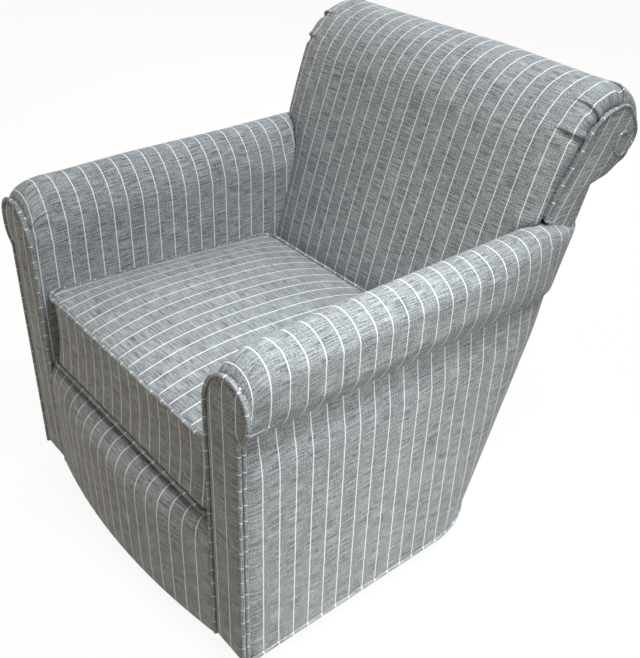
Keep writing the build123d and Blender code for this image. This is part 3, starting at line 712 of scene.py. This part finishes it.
def make_zip(name, tape, coil, roughness):
    """Woven tape with a ribbed coil along its middle."""
    material, g, shader = new_material(name, roughness)
    where = g.add("ShaderNodeTexCoord").outputs["Generated"]
    along, deep, up = g.add("ShaderNodeSeparateXYZ", {0: where}).outputs
    middle = g.math("ABSOLUTE", g.minus(up, 0.5))
    band = g.range(middle, 0.12, 0.17, 1.0, 0.0)
    slit = g.range(middle, 0.006, 0.02)
    turns = g.plus(g.times(along, 153.0), g.times(up, 2.0))
    tooth = g.range(g.math("SINE", g.times(turns, math.tau)), -0.6, 0.4, 0.25, 1.0)
    rib = g.times(g.times(band, slit), tooth)
    g.put(shader, {"Base Color": g.mix(rib, tape + (1.0,), coil + (1.0,)),
                   "Normal": g.bump(rib, 0.6, 0.0008)})
    return material


def finish_of(slot):
    name = "chair_" + slot
    make = make_zip if slot == "zip_nylon" else make_plain
    return bpy.data.materials.get(name) or make(name, *FINISHES[slot])


def fabric():
    name = "chair_pinstripe"
    return bpy.data.materials.get(name) or make_fabric(name)


# Settings
def length(name, description, default):
    return bpy.props.FloatProperty(name=name, description=description, default=default, unit="LENGTH")


def amount(name, description, default):
    return bpy.props.FloatProperty(name=name, description=description, default=default, min=0)


def colour(name, description, default):
    return bpy.props.FloatVectorProperty(
        name=name, description=description, default=default, subtype="COLOR", min=0, max=1)


class ClothSettings(bpy.types.PropertyGroup):
    """The upholstery cloth and how the pads are filled."""
    stripe_pitch: length("Stripe pitch", "From one stripe to the next", 0.0322)
    stripe_width: length("Stripe width", "Width of a woven stripe", 0.0020)
    dark_yarn: colour("Dark yarn", "Darkest tone of the ground", (0.092, 0.102, 0.110))
    light_yarn: colour("Light yarn", "Lightest tone of the ground", (0.56, 0.59, 0.605))
    stripe_yarn: colour("Stripe yarn", "Tone of the stripe", (0.97, 0.975, 0.96))
    welt_radius: length("Welt radius", "Half the thickness of a sewn cord", 0.0036)
    pressure: amount("Filling", "Pressure inside the pads while they settle", 4.0)
    crown: length("Crown", "Rise of the cushion before it is filled", 0.034)


class StageSettings(bpy.types.PropertyGroup):
    """Light and floor."""
    key: amount("Key light", "Power of the lamp above", 60.0)
    near: amount("Near light", "Power of the lamp over one arm", 0.5)
    side: amount("Side light", "Power of the side lamp", 2.2)
    front: amount("Front light", "Power of the front lamp", 7.8)
    rear: amount("Rear light", "Power of the rear lamp", 44.0)
    sky: amount("Surround", "Strength of the surround", 0.22)
    backdrop: amount("Backdrop", "How bright the surround shows behind the chair", 0.955)
    floor: colour("Floor", "Tone of the floor", (0.37, 0.345, 0.30))
    glow: amount("Floor glow", "How bright the floor shows around the chair", 1.16)
    glow_share: amount("Glow share", "Share of the glow in what the floor shows", 0.8)


class CHAIR_OT_stage(bpy.types.Operator):
    """Camera, floor and soft studio light"""
    bl_idname = "chair.stage"
    bl_label = "Stage"

    def execute(self, context):
        scene = context.scene
        scene.view_settings.view_transform = "Standard"
        self.camera(scene)
        self.floor(scene.chair_stage)
        self.surround(scene)
        for name, (place, aim, size, spread, tint) in LAMPS.items():
            lamp = bpy.data.lights.new(name + " lamp", "AREA")
            lamp.color = tint
            lamp.energy = getattr(scene.chair_stage, name)
            lamp.spread = math.radians(spread)
            lamp.size = size
            thing = add_object(name + " lamp", lamp)
            thing.location = place
            thing.rotation_euler = (Vector(aim) - Vector(place)).to_track_quat("-Z", "Y").to_euler()
        return {"FINISHED"}

    def camera(self, scene):
        lens = bpy.data.cameras.new("camera")
        lens.sensor_width = 36.0
        lens.lens = LENS
        lens.shift_x, lens.shift_y = SHIFT
        scene.camera = add_object("camera", lens)
        turn = Matrix((RIGHT, -DOWN, -AHEAD)).transposed().to_4x4()
        scene.camera.matrix_world = Matrix.Translation(EYE) @ turn

    def floor(self, settings):
        bm = bmesh.new()
        bmesh.ops.create_grid(bm, x_segments=1, y_segments=1, size=20)
        material, g, shader = new_material("floor", 0.9)
        g.put(shader, {"Base Color": tuple(settings.floor) + (1.0,)})
        glow = g.add("ShaderNodeEmission", {"Strength": settings.glow})
        share = g.times(self.seen(g), settings.glow_share)
        shown = g.add("ShaderNodeMixShader", {0: share, 1: shader.outputs[0], 2: glow.outputs[0]})
        g.put(g.tree.nodes["Material Output"], {0: shown.outputs[0]})
        add_object("floor", mesh_of("floor", bm, material))

    def surround(self, scene):
        settings = scene.chair_stage
        scene.world = bpy.data.worlds.new("surround")
        scene.world.use_nodes = True
        g = Graph(scene.world.node_tree)
        strength = g.range(self.seen(g), 0.0, 1.0, settings.sky, settings.backdrop)
        g.put(g.tree.nodes["Background"], {"Color": (1, 1, 1, 1), "Strength": strength})

    def seen(self, g):
        """One for what the camera, a mirror or clear glass shows."""
        path = g.add("ShaderNodeLightPath").outputs
        some = g.plus(path["Is Camera Ray"], path["Is Glossy Ray"])
        return g.math("ADD", some, path["Is Transmission Ray"], clamp=True)


class CHAIR_OT_seat_cushion(bpy.types.Operator):
    """Loose seat cushion with its two welts"""
    bl_idname = "chair.seat_cushion"
    bl_label = "Seat cushion"

    def outline(self, u, v, inset):
        """A point of the cushion's plan; u and v run from -1 to 1."""
        half = Vector((CUSHION_HALF - inset, CUSHION_DEEP / 2 - inset))
        p = [u * half.x, v * half.y]
        core = [half.x - CUSHION_CORNER, half.y - CUSHION_CORNER]
        over = [(abs(p[k]) - core[k]) / CUSHION_CORNER for k in (0, 1)]
        if min(over) > 0:
            a, b = over
            bent = (a * math.sqrt(1 - b * b / 2), b * math.sqrt(1 - a * a / 2))
            p = [math.copysign(core[k] + CUSHION_CORNER * bent[k], p[k]) for k in (0, 1)]
        return p[0], p[1] + CUSHION_DEEP / 2

    def execute(self, context):
        crown = context.scene.chair_cloth.crown
        bm = bmesh.new()
        bmesh.ops.create_grid(bm, x_segments=60, y_segments=56, size=1)
        low = faces_of(bmesh.ops.duplicate(bm, geom=bm.faces[:])["geom"])
        low_verts = list({vert for face in low for vert in face.verts})
        bmesh.ops.translate(bm, verts=low_verts, vec=(0, 0, -1))
        bmesh.ops.reverse_faces(bm, faces=low)
        bmesh.ops.bridge_loops(bm, edges=[edge for edge in bm.edges if edge.is_boundary])
        upright = [edge for edge in bm.edges if abs(edge.verts[0].co.z - edge.verts[1].co.z) > 0.5]
        bmesh.ops.subdivide_edges(bm, edges=upright, cuts=13, use_grid_fill=True)
        pins = bm.verts.layers.deform.verify()
        boxing = set()
        for face in bm.faces:
            heights = [vert.co.z for vert in face.verts]
            if max(heights) - min(heights) > 1e-4:
                boxing.add(face)
        for vert in bm.verts:
            u, v, h = vert.co
            on_top = h > -1e-4
            fold = 4 * -h * (1 + h) * between(*BOXING_DRAW, smooth_step(0.5, 1.0, v))
            x, y = self.outline(u, v, SEAM + fold)
            z = WELT_HIGH + (WELT_HIGH - WELT_LOW) * h
            if on_top:
                z += crown * (1 - abs(u) ** 3.2) * (1 - abs(v) ** 3.2)
            on_rim = max(abs(u), abs(v)) > 0.999
            vert[pins][0] = float(h < -0.9999 or (on_rim and on_top))
            vert.co = seat_point(x, y, z)
        uv = bm.loops.layers.uv.new("cloth")
        bm.normal_update()
        for face in bm.faces:
            for loop in face.loops:
                at = loop.vert.co
                across = at.x + SEAT_STRIPE
                if face not in boxing:
                    loop[uv].uv = (across, at.y)
                elif abs(face.normal.x) > 0.75:
                    loop[uv].uv = (at.y, at.z + 1.0)
                else:
                    loop[uv].uv = (across, at.z + 1.0)
        bmesh.ops.recalc_face_normals(bm, faces=bm.faces)
        nodes = ("seat_cushion_cover", "seat_cushion_core")
        piece = finish_piece("seat_cushion", bm, nodes, body="cushion")

        def cap(start):
            """The top may rise, the boxing and bottom hardly move."""
            seam = SEAT_Z + WELT_HIGH - (start.y - SEAT_Y) * math.tan(SEAT_PITCH)
            return 0.016 if start.z > seam - 0.02 else 0.002

        swell(piece, cap)
        refine(piece)
        way = spread(-1, 1, 40)[:-1]
        ring = [(1, t) for t in way] + [(-t, 1) for t in way]
        ring += [(-u, -v) for u, v in ring]
        for name, z in (("top", WELT_HIGH), ("bottom", WELT_LOW)):
            path = [seat_point(*self.outline(u, v, -WELT_OUT), z) for u, v in ring + ring[:1]]
            welt("cushion_welt_" + name, path, 0.008, "cushion", closed=True)
        return {"FINISHED"}


class CHAIR_OT_arms(bpy.types.Operator):
    """Rolled arm pads with their front panels and welts"""
    bl_idname = "chair.arms"
    bl_label = "Arms"

    def execute(self, context):
        for word, sign in SIDES:
            self.pad(word, sign)
            self.front(word, sign)
        return {"FINISHED"}

    def pad(self, word, sign):
        nose = 12
        start = Y_ARM + NOSE
        turns = spread(0.0, math.pi / 2, nose)[:-1]
        steps = [(math.sin(t), start - NOSE * math.cos(t)) for t in turns]
        steps += [(1.0, y) for y in spread(start, ARM_END, 80)]
        rows = []
        for quick, y in steps:
            slow = smooth_step(Y_ARM, Y_ARM + NOSE_SLOPE, y)
            rows.append((between(slow, quick, NOSE_RISE), y))
        sections = []
        for share, y in rows:
            points = roll_over(share, WALL_FOOT)
            shown = len(points)
            wall = SEAT_HALF + WALL
            sections.append(legs(points, ((SIDE, CAVITY_TOP), 4), ((wall, CAVITY_TOP), 5),
                                 ((wall, WALL_FOOT), 12), ((SEAT_HALF, WALL_FOOT), 2)))
        runs = lengths(sections[-1])

        def place(i, j):
            x, z = sections[j][i]
            y = rows[j][1]
            # the roll sinks where it meets the back
            above = max(z - ROLL["spring"], 0.0) / (ROLL["top"] - ROLL["spring"])
            z -= ARM_SINK * smooth_step(0.22, 0.36, y) * above
            # a groove runs beside the front welt, and a dent beside each pleat
            if j < len(GROOVE) and z > PANEL["crease"] - SEAM and i < shown:
                x += (ROLL_MIDDLE.x - x) * GROOVE[j]
                z += (PANEL["crease"] - z) * GROOVE[j] * 0.7
            for station, last in ARM_PLEATS:
                if i + 1 == station and j < last:
                    inward = (ROLL_MIDDLE - Vector((x, z))).normalized() * TUCK_IN * 0.6 * (1 - j / last)
                    x, z = x + inward.x, z + inward.y
            side = ROLL_SIDE - ROLL_TAPER * smooth_step(0.06, 0.30, y)
            limit, rear = plan_x(side, z, y + REAR_PULL)
            x = soft_min(x, limit, 0.02) if i < shown else min(x, limit - 0.004)
            return Vector((sign * x, min(y, rear - REAR_PULL), z))

        spots = [[place(i, j) for i in range(len(runs))] for j in range(len(rows))]
        along = [[y + SIDE_STRIPE for i in runs] for share, y in rows]
        for j in reversed(range(nose)):
            for i in range(len(runs)):
                along[j][i] = along[j + 1][i] - (spots[j + 1][i] - spots[j][i]).length

        def cloth(i, j):
            return along[j][i], runs[i]

        def held(i, j):
            return i >= shown - 1 or i == 0 or j < 2 or j > 75

        bm = close(grid(len(runs) - 1, len(rows) - 1, lambda i, j: spots[j][i], cloth, held))
        piece = finish_piece(word + "_arm", bm, (word + "_arm_pad",))
        swell(piece, lambda start: 0.004)
        refine(piece)
        folds = [[spots[j][i] for j in range(last, 1, -1)] for i, last in ARM_PLEATS]
        pleats(piece, folds, sign, width=0.012, height=0.0024)

    def front(self, word, sign):
        shape = [(SEAT_HALF, BOTTOM)] + roll_over(0.0, PANEL_FOOT)
        outline = [(sign * x, Y_ARM, z) for x, z in shape + [(SIDE, BOTTOM)]]

        def cloth(at):
            return sign * at.x - PANEL_STRIPE, at.z

        bm = faced(outline, Vector((0, -PANEL_OUT, 0)), PANEL_CROWN, cloth, True)
        finish_piece(word + "_arm_panel", bm, (word + "_arm_front",))
        y = Y_FRONT + WELT_SUNK
        welt(word + "_panel_welt", [(sign * x, y, z) for x, z in shape], 0.006)
        edge = [(sign * SIDE, y, z) for z in (PANEL["crease"], BOTTOM)]
        welt(word + "_panel_edge_welt", edge, 0.01, offset=0.011)


class CHAIR_OT_outside(bpy.types.Operator):
    """Outside arms and outside back with their welts"""
    bl_idname = "chair.outside"
    bl_label = "Outside panels"

    def panel(self, name, sign, counts, at, draw, outward, nodes=()):
        """A panel on the body's outline: at gives a station's height and run, draw pulls it in."""
        def place(i, j):
            z, run = at(i, j)
            x, y = draw(i, z, *body_at(SIDE, z, run))
            return Vector((sign * x, y, z))

        def cloth(i, j):
            z, run = at(i, j)
            return corner(SIDE, z)[0] + run + SIDE_STRIPE, z

        finish_piece(name, thicken(grid(*counts, place, cloth), PANEL_CLOTH, outward), nodes)

    def execute(self, context):
        top = CAVITY_TOP - 0.002
        flat = 44

        def side_at(i, j):
            z = between(BOTTOM, top, j / 54)
            if i > flat:
                return z, between(0.0, run_to(z, SEAT_HALF), (i - flat) / 30)
            return z, between(Y_ARM - corner(SIDE, z)[0], 0.0, (i / flat) ** 1.35)

        def side_draw(i, z, x, y):
            under = between(ROLL_UNDERCUT, UNDERCUT, smooth_step(0.0, 0.30, y)) * smooth_step(0.43, 0.53, z)
            return x - max(under, UNDERCUT * (1 - smooth_step(0.004, 0.020, y - Y_ARM))), y

        def high_at(i, j):
            z = between(top, TUCK, j / 14)
            return z, between(CORNER_RUN, run_to(z, SEAT_HALF), i / 12)

        def high_draw(i, z, x, y):
            return x, y - REAR_PULL * smooth_step(top, 0.64, z) * (1 - i / 12)

        low = BOTTOM + SEAM
        for word, sign in SIDES:
            self.panel(word + "_side_panel", sign, (flat + 30, 54), side_at, side_draw, Vector((sign, 0, 0)),
                       (word + "_outside_arm",))
            self.panel(word + "_corner_panel", sign, (12, 14), high_at, high_draw, Vector((sign, 1, 0)))
            edge = [(sign * (SIDE + SEAM), Y_ARM + SEAM, z) for z in (0.522, low)]
            welt(word + "_side_welt", edge, 0.008, offset=0.02)
            runs = spread(Y_ARM - TURN_LOW, run_to(BOTTOM, SEAT_HALF), 60)
            hem = [body_at(SIDE + SEAM, BOTTOM, run) for run in runs]
            welt(word + "_hem_welt", [(sign * x, y, low) for x, y in hem], 0.01)
            seam = [(sign * SEAT_HALF, back_y(z, SEAT_HALF) + SEAM, z) for z in spread(low, TUCK, 30)]
            welt(word + "_back_seam_welt", seam, 0.01)

        def back_cloth(i, j):
            return between(-SEAT_HALF, SEAT_HALF, i / 56), between(BOTTOM, TUCK, j / 64)

        def back_place(i, j):
            x, z = back_cloth(i, j)
            return Vector((x, back_y(z, x), z))

        bm = thicken(grid(56, 64, back_place, back_cloth), PANEL_CLOTH, Vector((0, 1, 0)))
        finish_piece("back_panel", bm, ("outside_back",))
        hem = [(x, back_y(BOTTOM, x) + SEAM, low) for x in spread(-SEAT_HALF, SEAT_HALF, 40)]
        welt("back_hem_welt", hem, 0.01)
        return {"FINISHED"}


def flare(z):
    """How much wider the back is at a height than its plain half width."""
    return between(-0.006, 0.003, smooth_step(0.68, 0.82, z))


def droop(x):
    """How far the ends of the scroll are drawn down, a little more at one end."""
    return 0.011 * smooth_step(0.05, BACK_HALF, x) + 0.002 * smooth_step(0.10, BACK_HALF, -x)


@functools.cache
def back_profile(inset):
    """Closed profile of the inside back: its shown side, then down its rear and along its foot."""
    points = scroll_over(inset)
    rear = BACK_REAR + BACK_PAD
    top = TUCK + 0.004
    over = rear + BACK_RAKE * (top - BACK_FOOT)
    return legs(points, ((over, top), 8), ((rear, BACK_FOOT), 18), (points[0], 3))


class CHAIR_OT_inside_back(bpy.types.Operator):
    """Inside back with its scroll, and the end facings"""
    bl_idname = "chair.inside_back"
    bl_label = "Inside back"

    def execute(self, context):
        flat = 74
        turns = [math.radians(18 * k) for k in range(1, 9)]
        ends = [(END_ROUND * math.sin(t), END_ROUND * (1 - math.cos(t)), END_ROUND * t) for t in turns]
        columns = [(-1.0, end) for end in reversed(ends)]
        columns += [(share, (0.0, 0.0, 0.0)) for share in spread(-1.0, 1.0, flat)]
        columns += [(1.0, end) for end in ends]
        plain = back_profile(0.0)
        shown = len(scroll_over(0.0))
        runs = lengths(plain)

        def half_at(i):
            y, z = plain[i]
            if i >= shown:
                return 0.262
            if y > 0.33 or z > ROLL["top"]:
                return BACK_HALF + flare(z)
            return min(roll_inner_x(z) + 0.003, BACK_HALF + flare(z))

        def fullness(i):
            """How much fuller the end fold is over the scroll than beside the sitter."""
            if i >= shown:
                return 1.0
            return 1 + FOLD_GROWTH * smooth_step(0.70, 0.82, plain[i][1]) * (1 - smooth_step(76, 90, i))

        def across(i, j, out):
            """Width of a station, with its share of the end fold."""
            full = fullness(i)
            share = columns[j][0]
            return share * (half_at(i) - END_ROUND * full) + math.copysign(out * full, share)

        def place(i, j):
            share, (out, inset, run) = columns[j]
            inset *= fullness(i) * between(1.0, 0.45, smooth_step(84, 92, i))
            # a dent runs beside each pleat
            if i + 1 in SCROLL_PLEATS:
                from_end = min(j, len(columns) - 1 - j)
                inset += TUCK_IN * clamp((len(ends) + 2 - from_end) / 3)
            x = across(i, j, out)
            y, z = back_profile(inset if i < shown else 0.0)[i]
            if i < shown:
                z -= droop(x) * smooth_step(0.74, 0.88, z)
            return Vector((x, y, z))

        def cloth(i, j):
            return across(i, j, columns[j][1][2]) + SEAT_STRIPE, runs[i]

        def held(i, j):
            return i >= shown - 12 or i < 2 or columns[j][1][1] > 0.003

        last = len(columns) - 1
        bm = close(grid(len(runs) - 1, last, place, cloth, held))
        piece = finish_piece("inside_back_pad", bm, ("inside_back",))
        swell(piece, lambda start: 0.005)
        refine(piece)
        inwards = range(len(ends) + 2, 0, -1)
        for word, sign in SIDES:
            folds = [[place(i, last - n if sign > 0 else n) for n in inwards] for i in SCROLL_PLEATS]
            pleats(piece, folds, sign, width=0.018, height=0.0040)
            self.facing(word, sign)
        return {"FINISHED"}

    def facing_edge(self):
        """Edge of an end facing: the border round it is wide over the scroll, narrow at its foot and rear."""
        narrow, wide, rear = [scroll_over(inset, 0.60) for inset in FACING_INSETS]
        edge = []
        for k, (thin, thick, low) in enumerate(zip(narrow, wide, rear)):
            share = smooth_step(0.69, 0.82, thin[1]) if k < 75 else max(1 - (k - 74) / 14, 0.0)
            point = part_way(part_way(thin, thick, share), low, smooth_step(84, 92, k))
            if point[1] > 0.672 or k > 74:
                edge.append(point)
        return edge

    def facing(self, word, sign):
        edge = self.facing_edge()
        heights = (0.715, 0.695, 0.675, 0.655, 0.640, 0.622)
        rear = [(corner(SIDE, z)[0] + CORNER_RUN - REAR_PULL, z) for z in heights]

        def on_end(points, out):
            return [(sign * (BACK_HALF + flare(z) + out), y, z) for y, z in points]

        def cloth(at):
            """Stripes that lean with the back."""
            return (at.y - (at.z - 0.70) * 0.545) * 0.878 - 0.2416, at.z

        out = Vector((sign * (FACING_IN + FACING_OUT), 0, 0))
        bm = faced(on_end(edge + rear, -FACING_IN), out, FACING_CROWN, cloth, False)
        finish_piece(word + "_scroll_facing", bm, (word + "_back_facing",))
        path = [(y, z) for y, z in edge if z > 0.80 or y < 0.38]
        path = path[:path.index(max(path))]
        # the welt goes on into a curl, as the gathered end of the scroll does
        y, z = path[-1]
        radii = spread(math.dist(path[-1], CURL), 0.014, 39)
        start = math.atan2(z - CURL[1], y - CURL[0])
        path += [polar(CURL, radii[k], start - k * math.radians(9)) for k in range(1, 40)]
        welt(word + "_facing_welt", on_end(path, FACING_OUT), 0.006)
        welt(word + "_facing_foot_welt", on_end((edge[0], rear[-1]), FACING_OUT), 0.006)


class CHAIR_OT_front_border(bpy.types.Operator):
    """Bowed border under the cushion, and the deck behind it"""
    bl_idname = "chair.front_border"
    bl_label = "Front border and deck"

    def execute(self, context):
        half = SEAT_HALF - 0.0006
        rise = 0.046
        low = BOTTOM - BORDER_DROP
        columns = 64
        widths = spread(-half, half, columns)

        def profile(x):
            front = Y_FRONT - BOW * (1 - (x / half) ** 2)
            deep = (BORDER_BACK - front) * 0.85
            points = legs([(front, low)], ((front, BORDER_TOP - rise), 24))
            for turn in spread(0.0, math.pi / 2, 10)[1:]:
                points.append((front + deep * (1 - math.cos(turn)), BORDER_TOP - rise * (1 - math.sin(turn))))
            top = (BORDER_BACK, BORDER_TOP - 0.002)
            return legs(points, (top, 3), ((BORDER_BACK, low), 14), (points[0], 3))

        table = [profile(x) for x in widths]
        runs = lengths(table[columns // 2])

        def place(i, j):
            return Vector((widths[j], *table[j][i]))

        def cloth(i, j):
            return widths[j] + SEAT_STRIPE, runs[i]

        def held(i, j):
            return i < 1 or i > 36 or j < 1 or j > columns - 1

        bm = close(grid(len(runs) - 1, columns, place, cloth, held))
        piece = finish_piece("front_border_pad", bm, ("front_border",))
        swell(piece, lambda start: 0.004)
        refine(piece)
        self.deck()
        return {"FINISHED"}

    def deck(self):
        """Lining under the cushion, and its strip that closes the gap under the inside back."""
        def cloth(i, j):
            return i * 0.0236, j * 0.021

        def place(i, j):
            x = between(-DECK_HALF, DECK_HALF, i / 24)
            y = between(0.012, 0.515, j / 24)
            dip = 0.002 * math.sin(math.pi * i / 24) * math.sin(math.pi * j / 24)
            return seat_point(x, y, -0.0006 - dip)

        def pull_place(i, j):
            x = between(-DECK_HALF, DECK_HALF, i / 24)
            sag = 0.002 * math.sin(math.pi * j / 6)
            return Vector((x, between(0.110, 0.085, j / 6) + sag, between(0.3040, 0.2805, j / 6) - sag))

        bm = thicken(grid(24, 24, place, cloth), 0.0136, Vector((0, 0, 1)))
        deck = finish_piece("deck_pad", bm, ("seat_deck",), slot="lining")
        bm = thicken(grid(24, 6, pull_place, cloth), 0.0012, Vector((0, -1, 1)))
        pull = finish_piece("back_pull", bm, slot="lining")


class CHAIR_OT_under(bpy.types.Operator):
    """Webbing of the seat and back, and the dust cover"""
    bl_idname = "chair.under"
    bl_label = "Webbing and dust cover"

    def strips(self, name, count, along, place):
        """Strips of webbing, each bent over and under the ones it crosses."""
        whole = bmesh.new()
        for n in range(count):
            def at(i, j):
                return place(n, between(-WEB_HALF, WEB_HALF, i / 4), j / along)

            bm = grid(4, along, at, lambda i, j: (i * 0.0125, j * 0.01))
            thicken(bm, 0.0016, at(2, 0).normalized())
            mesh = mesh_of("strip", bm, finish_of("webbing"))
            whole.from_mesh(mesh)
            bpy.data.meshes.remove(mesh)
        finish_piece(name + "_straps", whole, (name,), slot="webbing")

    def execute(self, context):
        rise = 0.0011
        deep = -0.0158
        first = 0.0985

        def long_at(n, across, share):
            y = between(0.0126, 0.5160, share)
            wave = rise * math.cos(math.pi * ((y - first) / WEB_Y + n))
            return seat_point((n - 2) * WEB_X + across, y, deep + wave)

        def cross_at(n, across, share):
            x = between(-DECK_HALF, DECK_HALF, share)
            wave = rise * math.cos(math.pi * (x / WEB_X + n + 1))
            return seat_point(x, first + n * WEB_Y + across, deep + wave)

        def back_at(n, across, share):
            z = between(0.350, 0.722, share)
            return Vector(((n - 1.5) * 0.1159 + across, 0.1712 + BACK_RAKE * (z - 0.350), z))

        self.strips("seat_webbing_long", 5, 60, long_at)
        self.strips("seat_webbing_cross", 4, 60, cross_at)
        self.strips("back_webbing", 4, 30, back_at)
        self.dust_cover()
        return {"FINISHED"}

    def dust_cover(self):
        """Thin black cloth tacked under the frame, open in the middle for the swivel."""
        hole = 0.180
        front = BORDER_BACK + 0.001
        edge = 0.006
        turns = 128

        def inside(x, y):
            if y < front or abs(x) > plan_x(SIDE, BOTTOM, y)[0] - edge:
                return False
            return y < back_y(BOTTOM, x) - edge

        rims = []
        for turn in spread(0.0, math.tau, turns):
            low, high = hole, 0.6
            for step in range(24):
                middle = (low + high) / 2
                if inside(*polar((0, 0), middle, turn)):
                    low = middle
                else:
                    high = middle
            rims.append((turn, low))

        def place(i, j):
            turn, far = rims[j]
            x, y = polar((0, 0), between(hole, far, i / 10), turn)
            return Vector((x, y, 0.0475 + 0.0008 * math.sin(math.pi * i / 10)))

        bm = grid(10, turns, place, lambda i, j: tuple(place(i, j).xy))
        bmesh.ops.remove_doubles(bm, verts=bm.verts, dist=1e-6)
        area = sum(face.calc_area() for face in bm.faces)
        thicken(bm, 0.0006, Vector((0, 0, -1)))
        piece = finish_piece("dust_cover_cloth", bm, ("dust_cover",), slot="lining")


class CHAIR_OT_frame_finishes(bpy.types.Operator):
    """Finishes of the base, frame, webbing, zip and dust cover"""
    bl_idname = "chair.frame_finishes"
    bl_label = "Frame finishes"

    def execute(self, context):
        for part in frame["record"]["subparts"]:
            if part["material_slot"] in FINISHES:
                thing = frame["nodes"][part["node"]]
                thing.data.materials.clear()
                thing.data.materials.append(finish_of(part["material_slot"]))
        return {"FINISHED"}


class CHAIR_PT_panel(bpy.types.Panel):
    """Buttons for each group of pieces"""
    bl_idname = "CHAIR_PT_panel"
    bl_label = "Swivel Chair"
    bl_space_type = "VIEW_3D"
    bl_region_type = "UI"
    bl_category = "Chair"

    def draw(self, context):
        for operator in OPERATORS:
            self.layout.operator(operator.bl_idname)
        for settings in (context.scene.chair_cloth, context.scene.chair_stage):
            for name in settings.__annotations__:
                self.layout.prop(settings, name)


OPERATORS = (CHAIR_OT_stage, CHAIR_OT_frame_finishes, CHAIR_OT_seat_cushion, CHAIR_OT_arms, CHAIR_OT_outside,
             CHAIR_OT_inside_back, CHAIR_OT_front_border, CHAIR_OT_under)
CLASSES = (ClothSettings, StageSettings) + OPERATORS + (CHAIR_PT_panel,)


def register():
    for item in CLASSES:
        bpy.utils.register_class(item)
    bpy.types.Scene.chair_cloth = bpy.props.PointerProperty(type=ClothSettings)
    bpy.types.Scene.chair_stage = bpy.props.PointerProperty(type=StageSettings)


def unregister():
    del bpy.types.Scene.chair_stage
    del bpy.types.Scene.chair_cloth
    for item in reversed(CLASSES):
        bpy.utils.unregister_class(item)


def main():
    register()
    bpy.ops.chair.stage()
    bpy.ops.chair.frame_finishes()
    bpy.ops.chair.seat_cushion()
    bpy.ops.chair.arms()
    bpy.ops.chair.outside()
    bpy.ops.chair.inside_back()
    bpy.ops.chair.front_border()
    bpy.ops.chair.under()


if __name__ == "__main__":
    main()
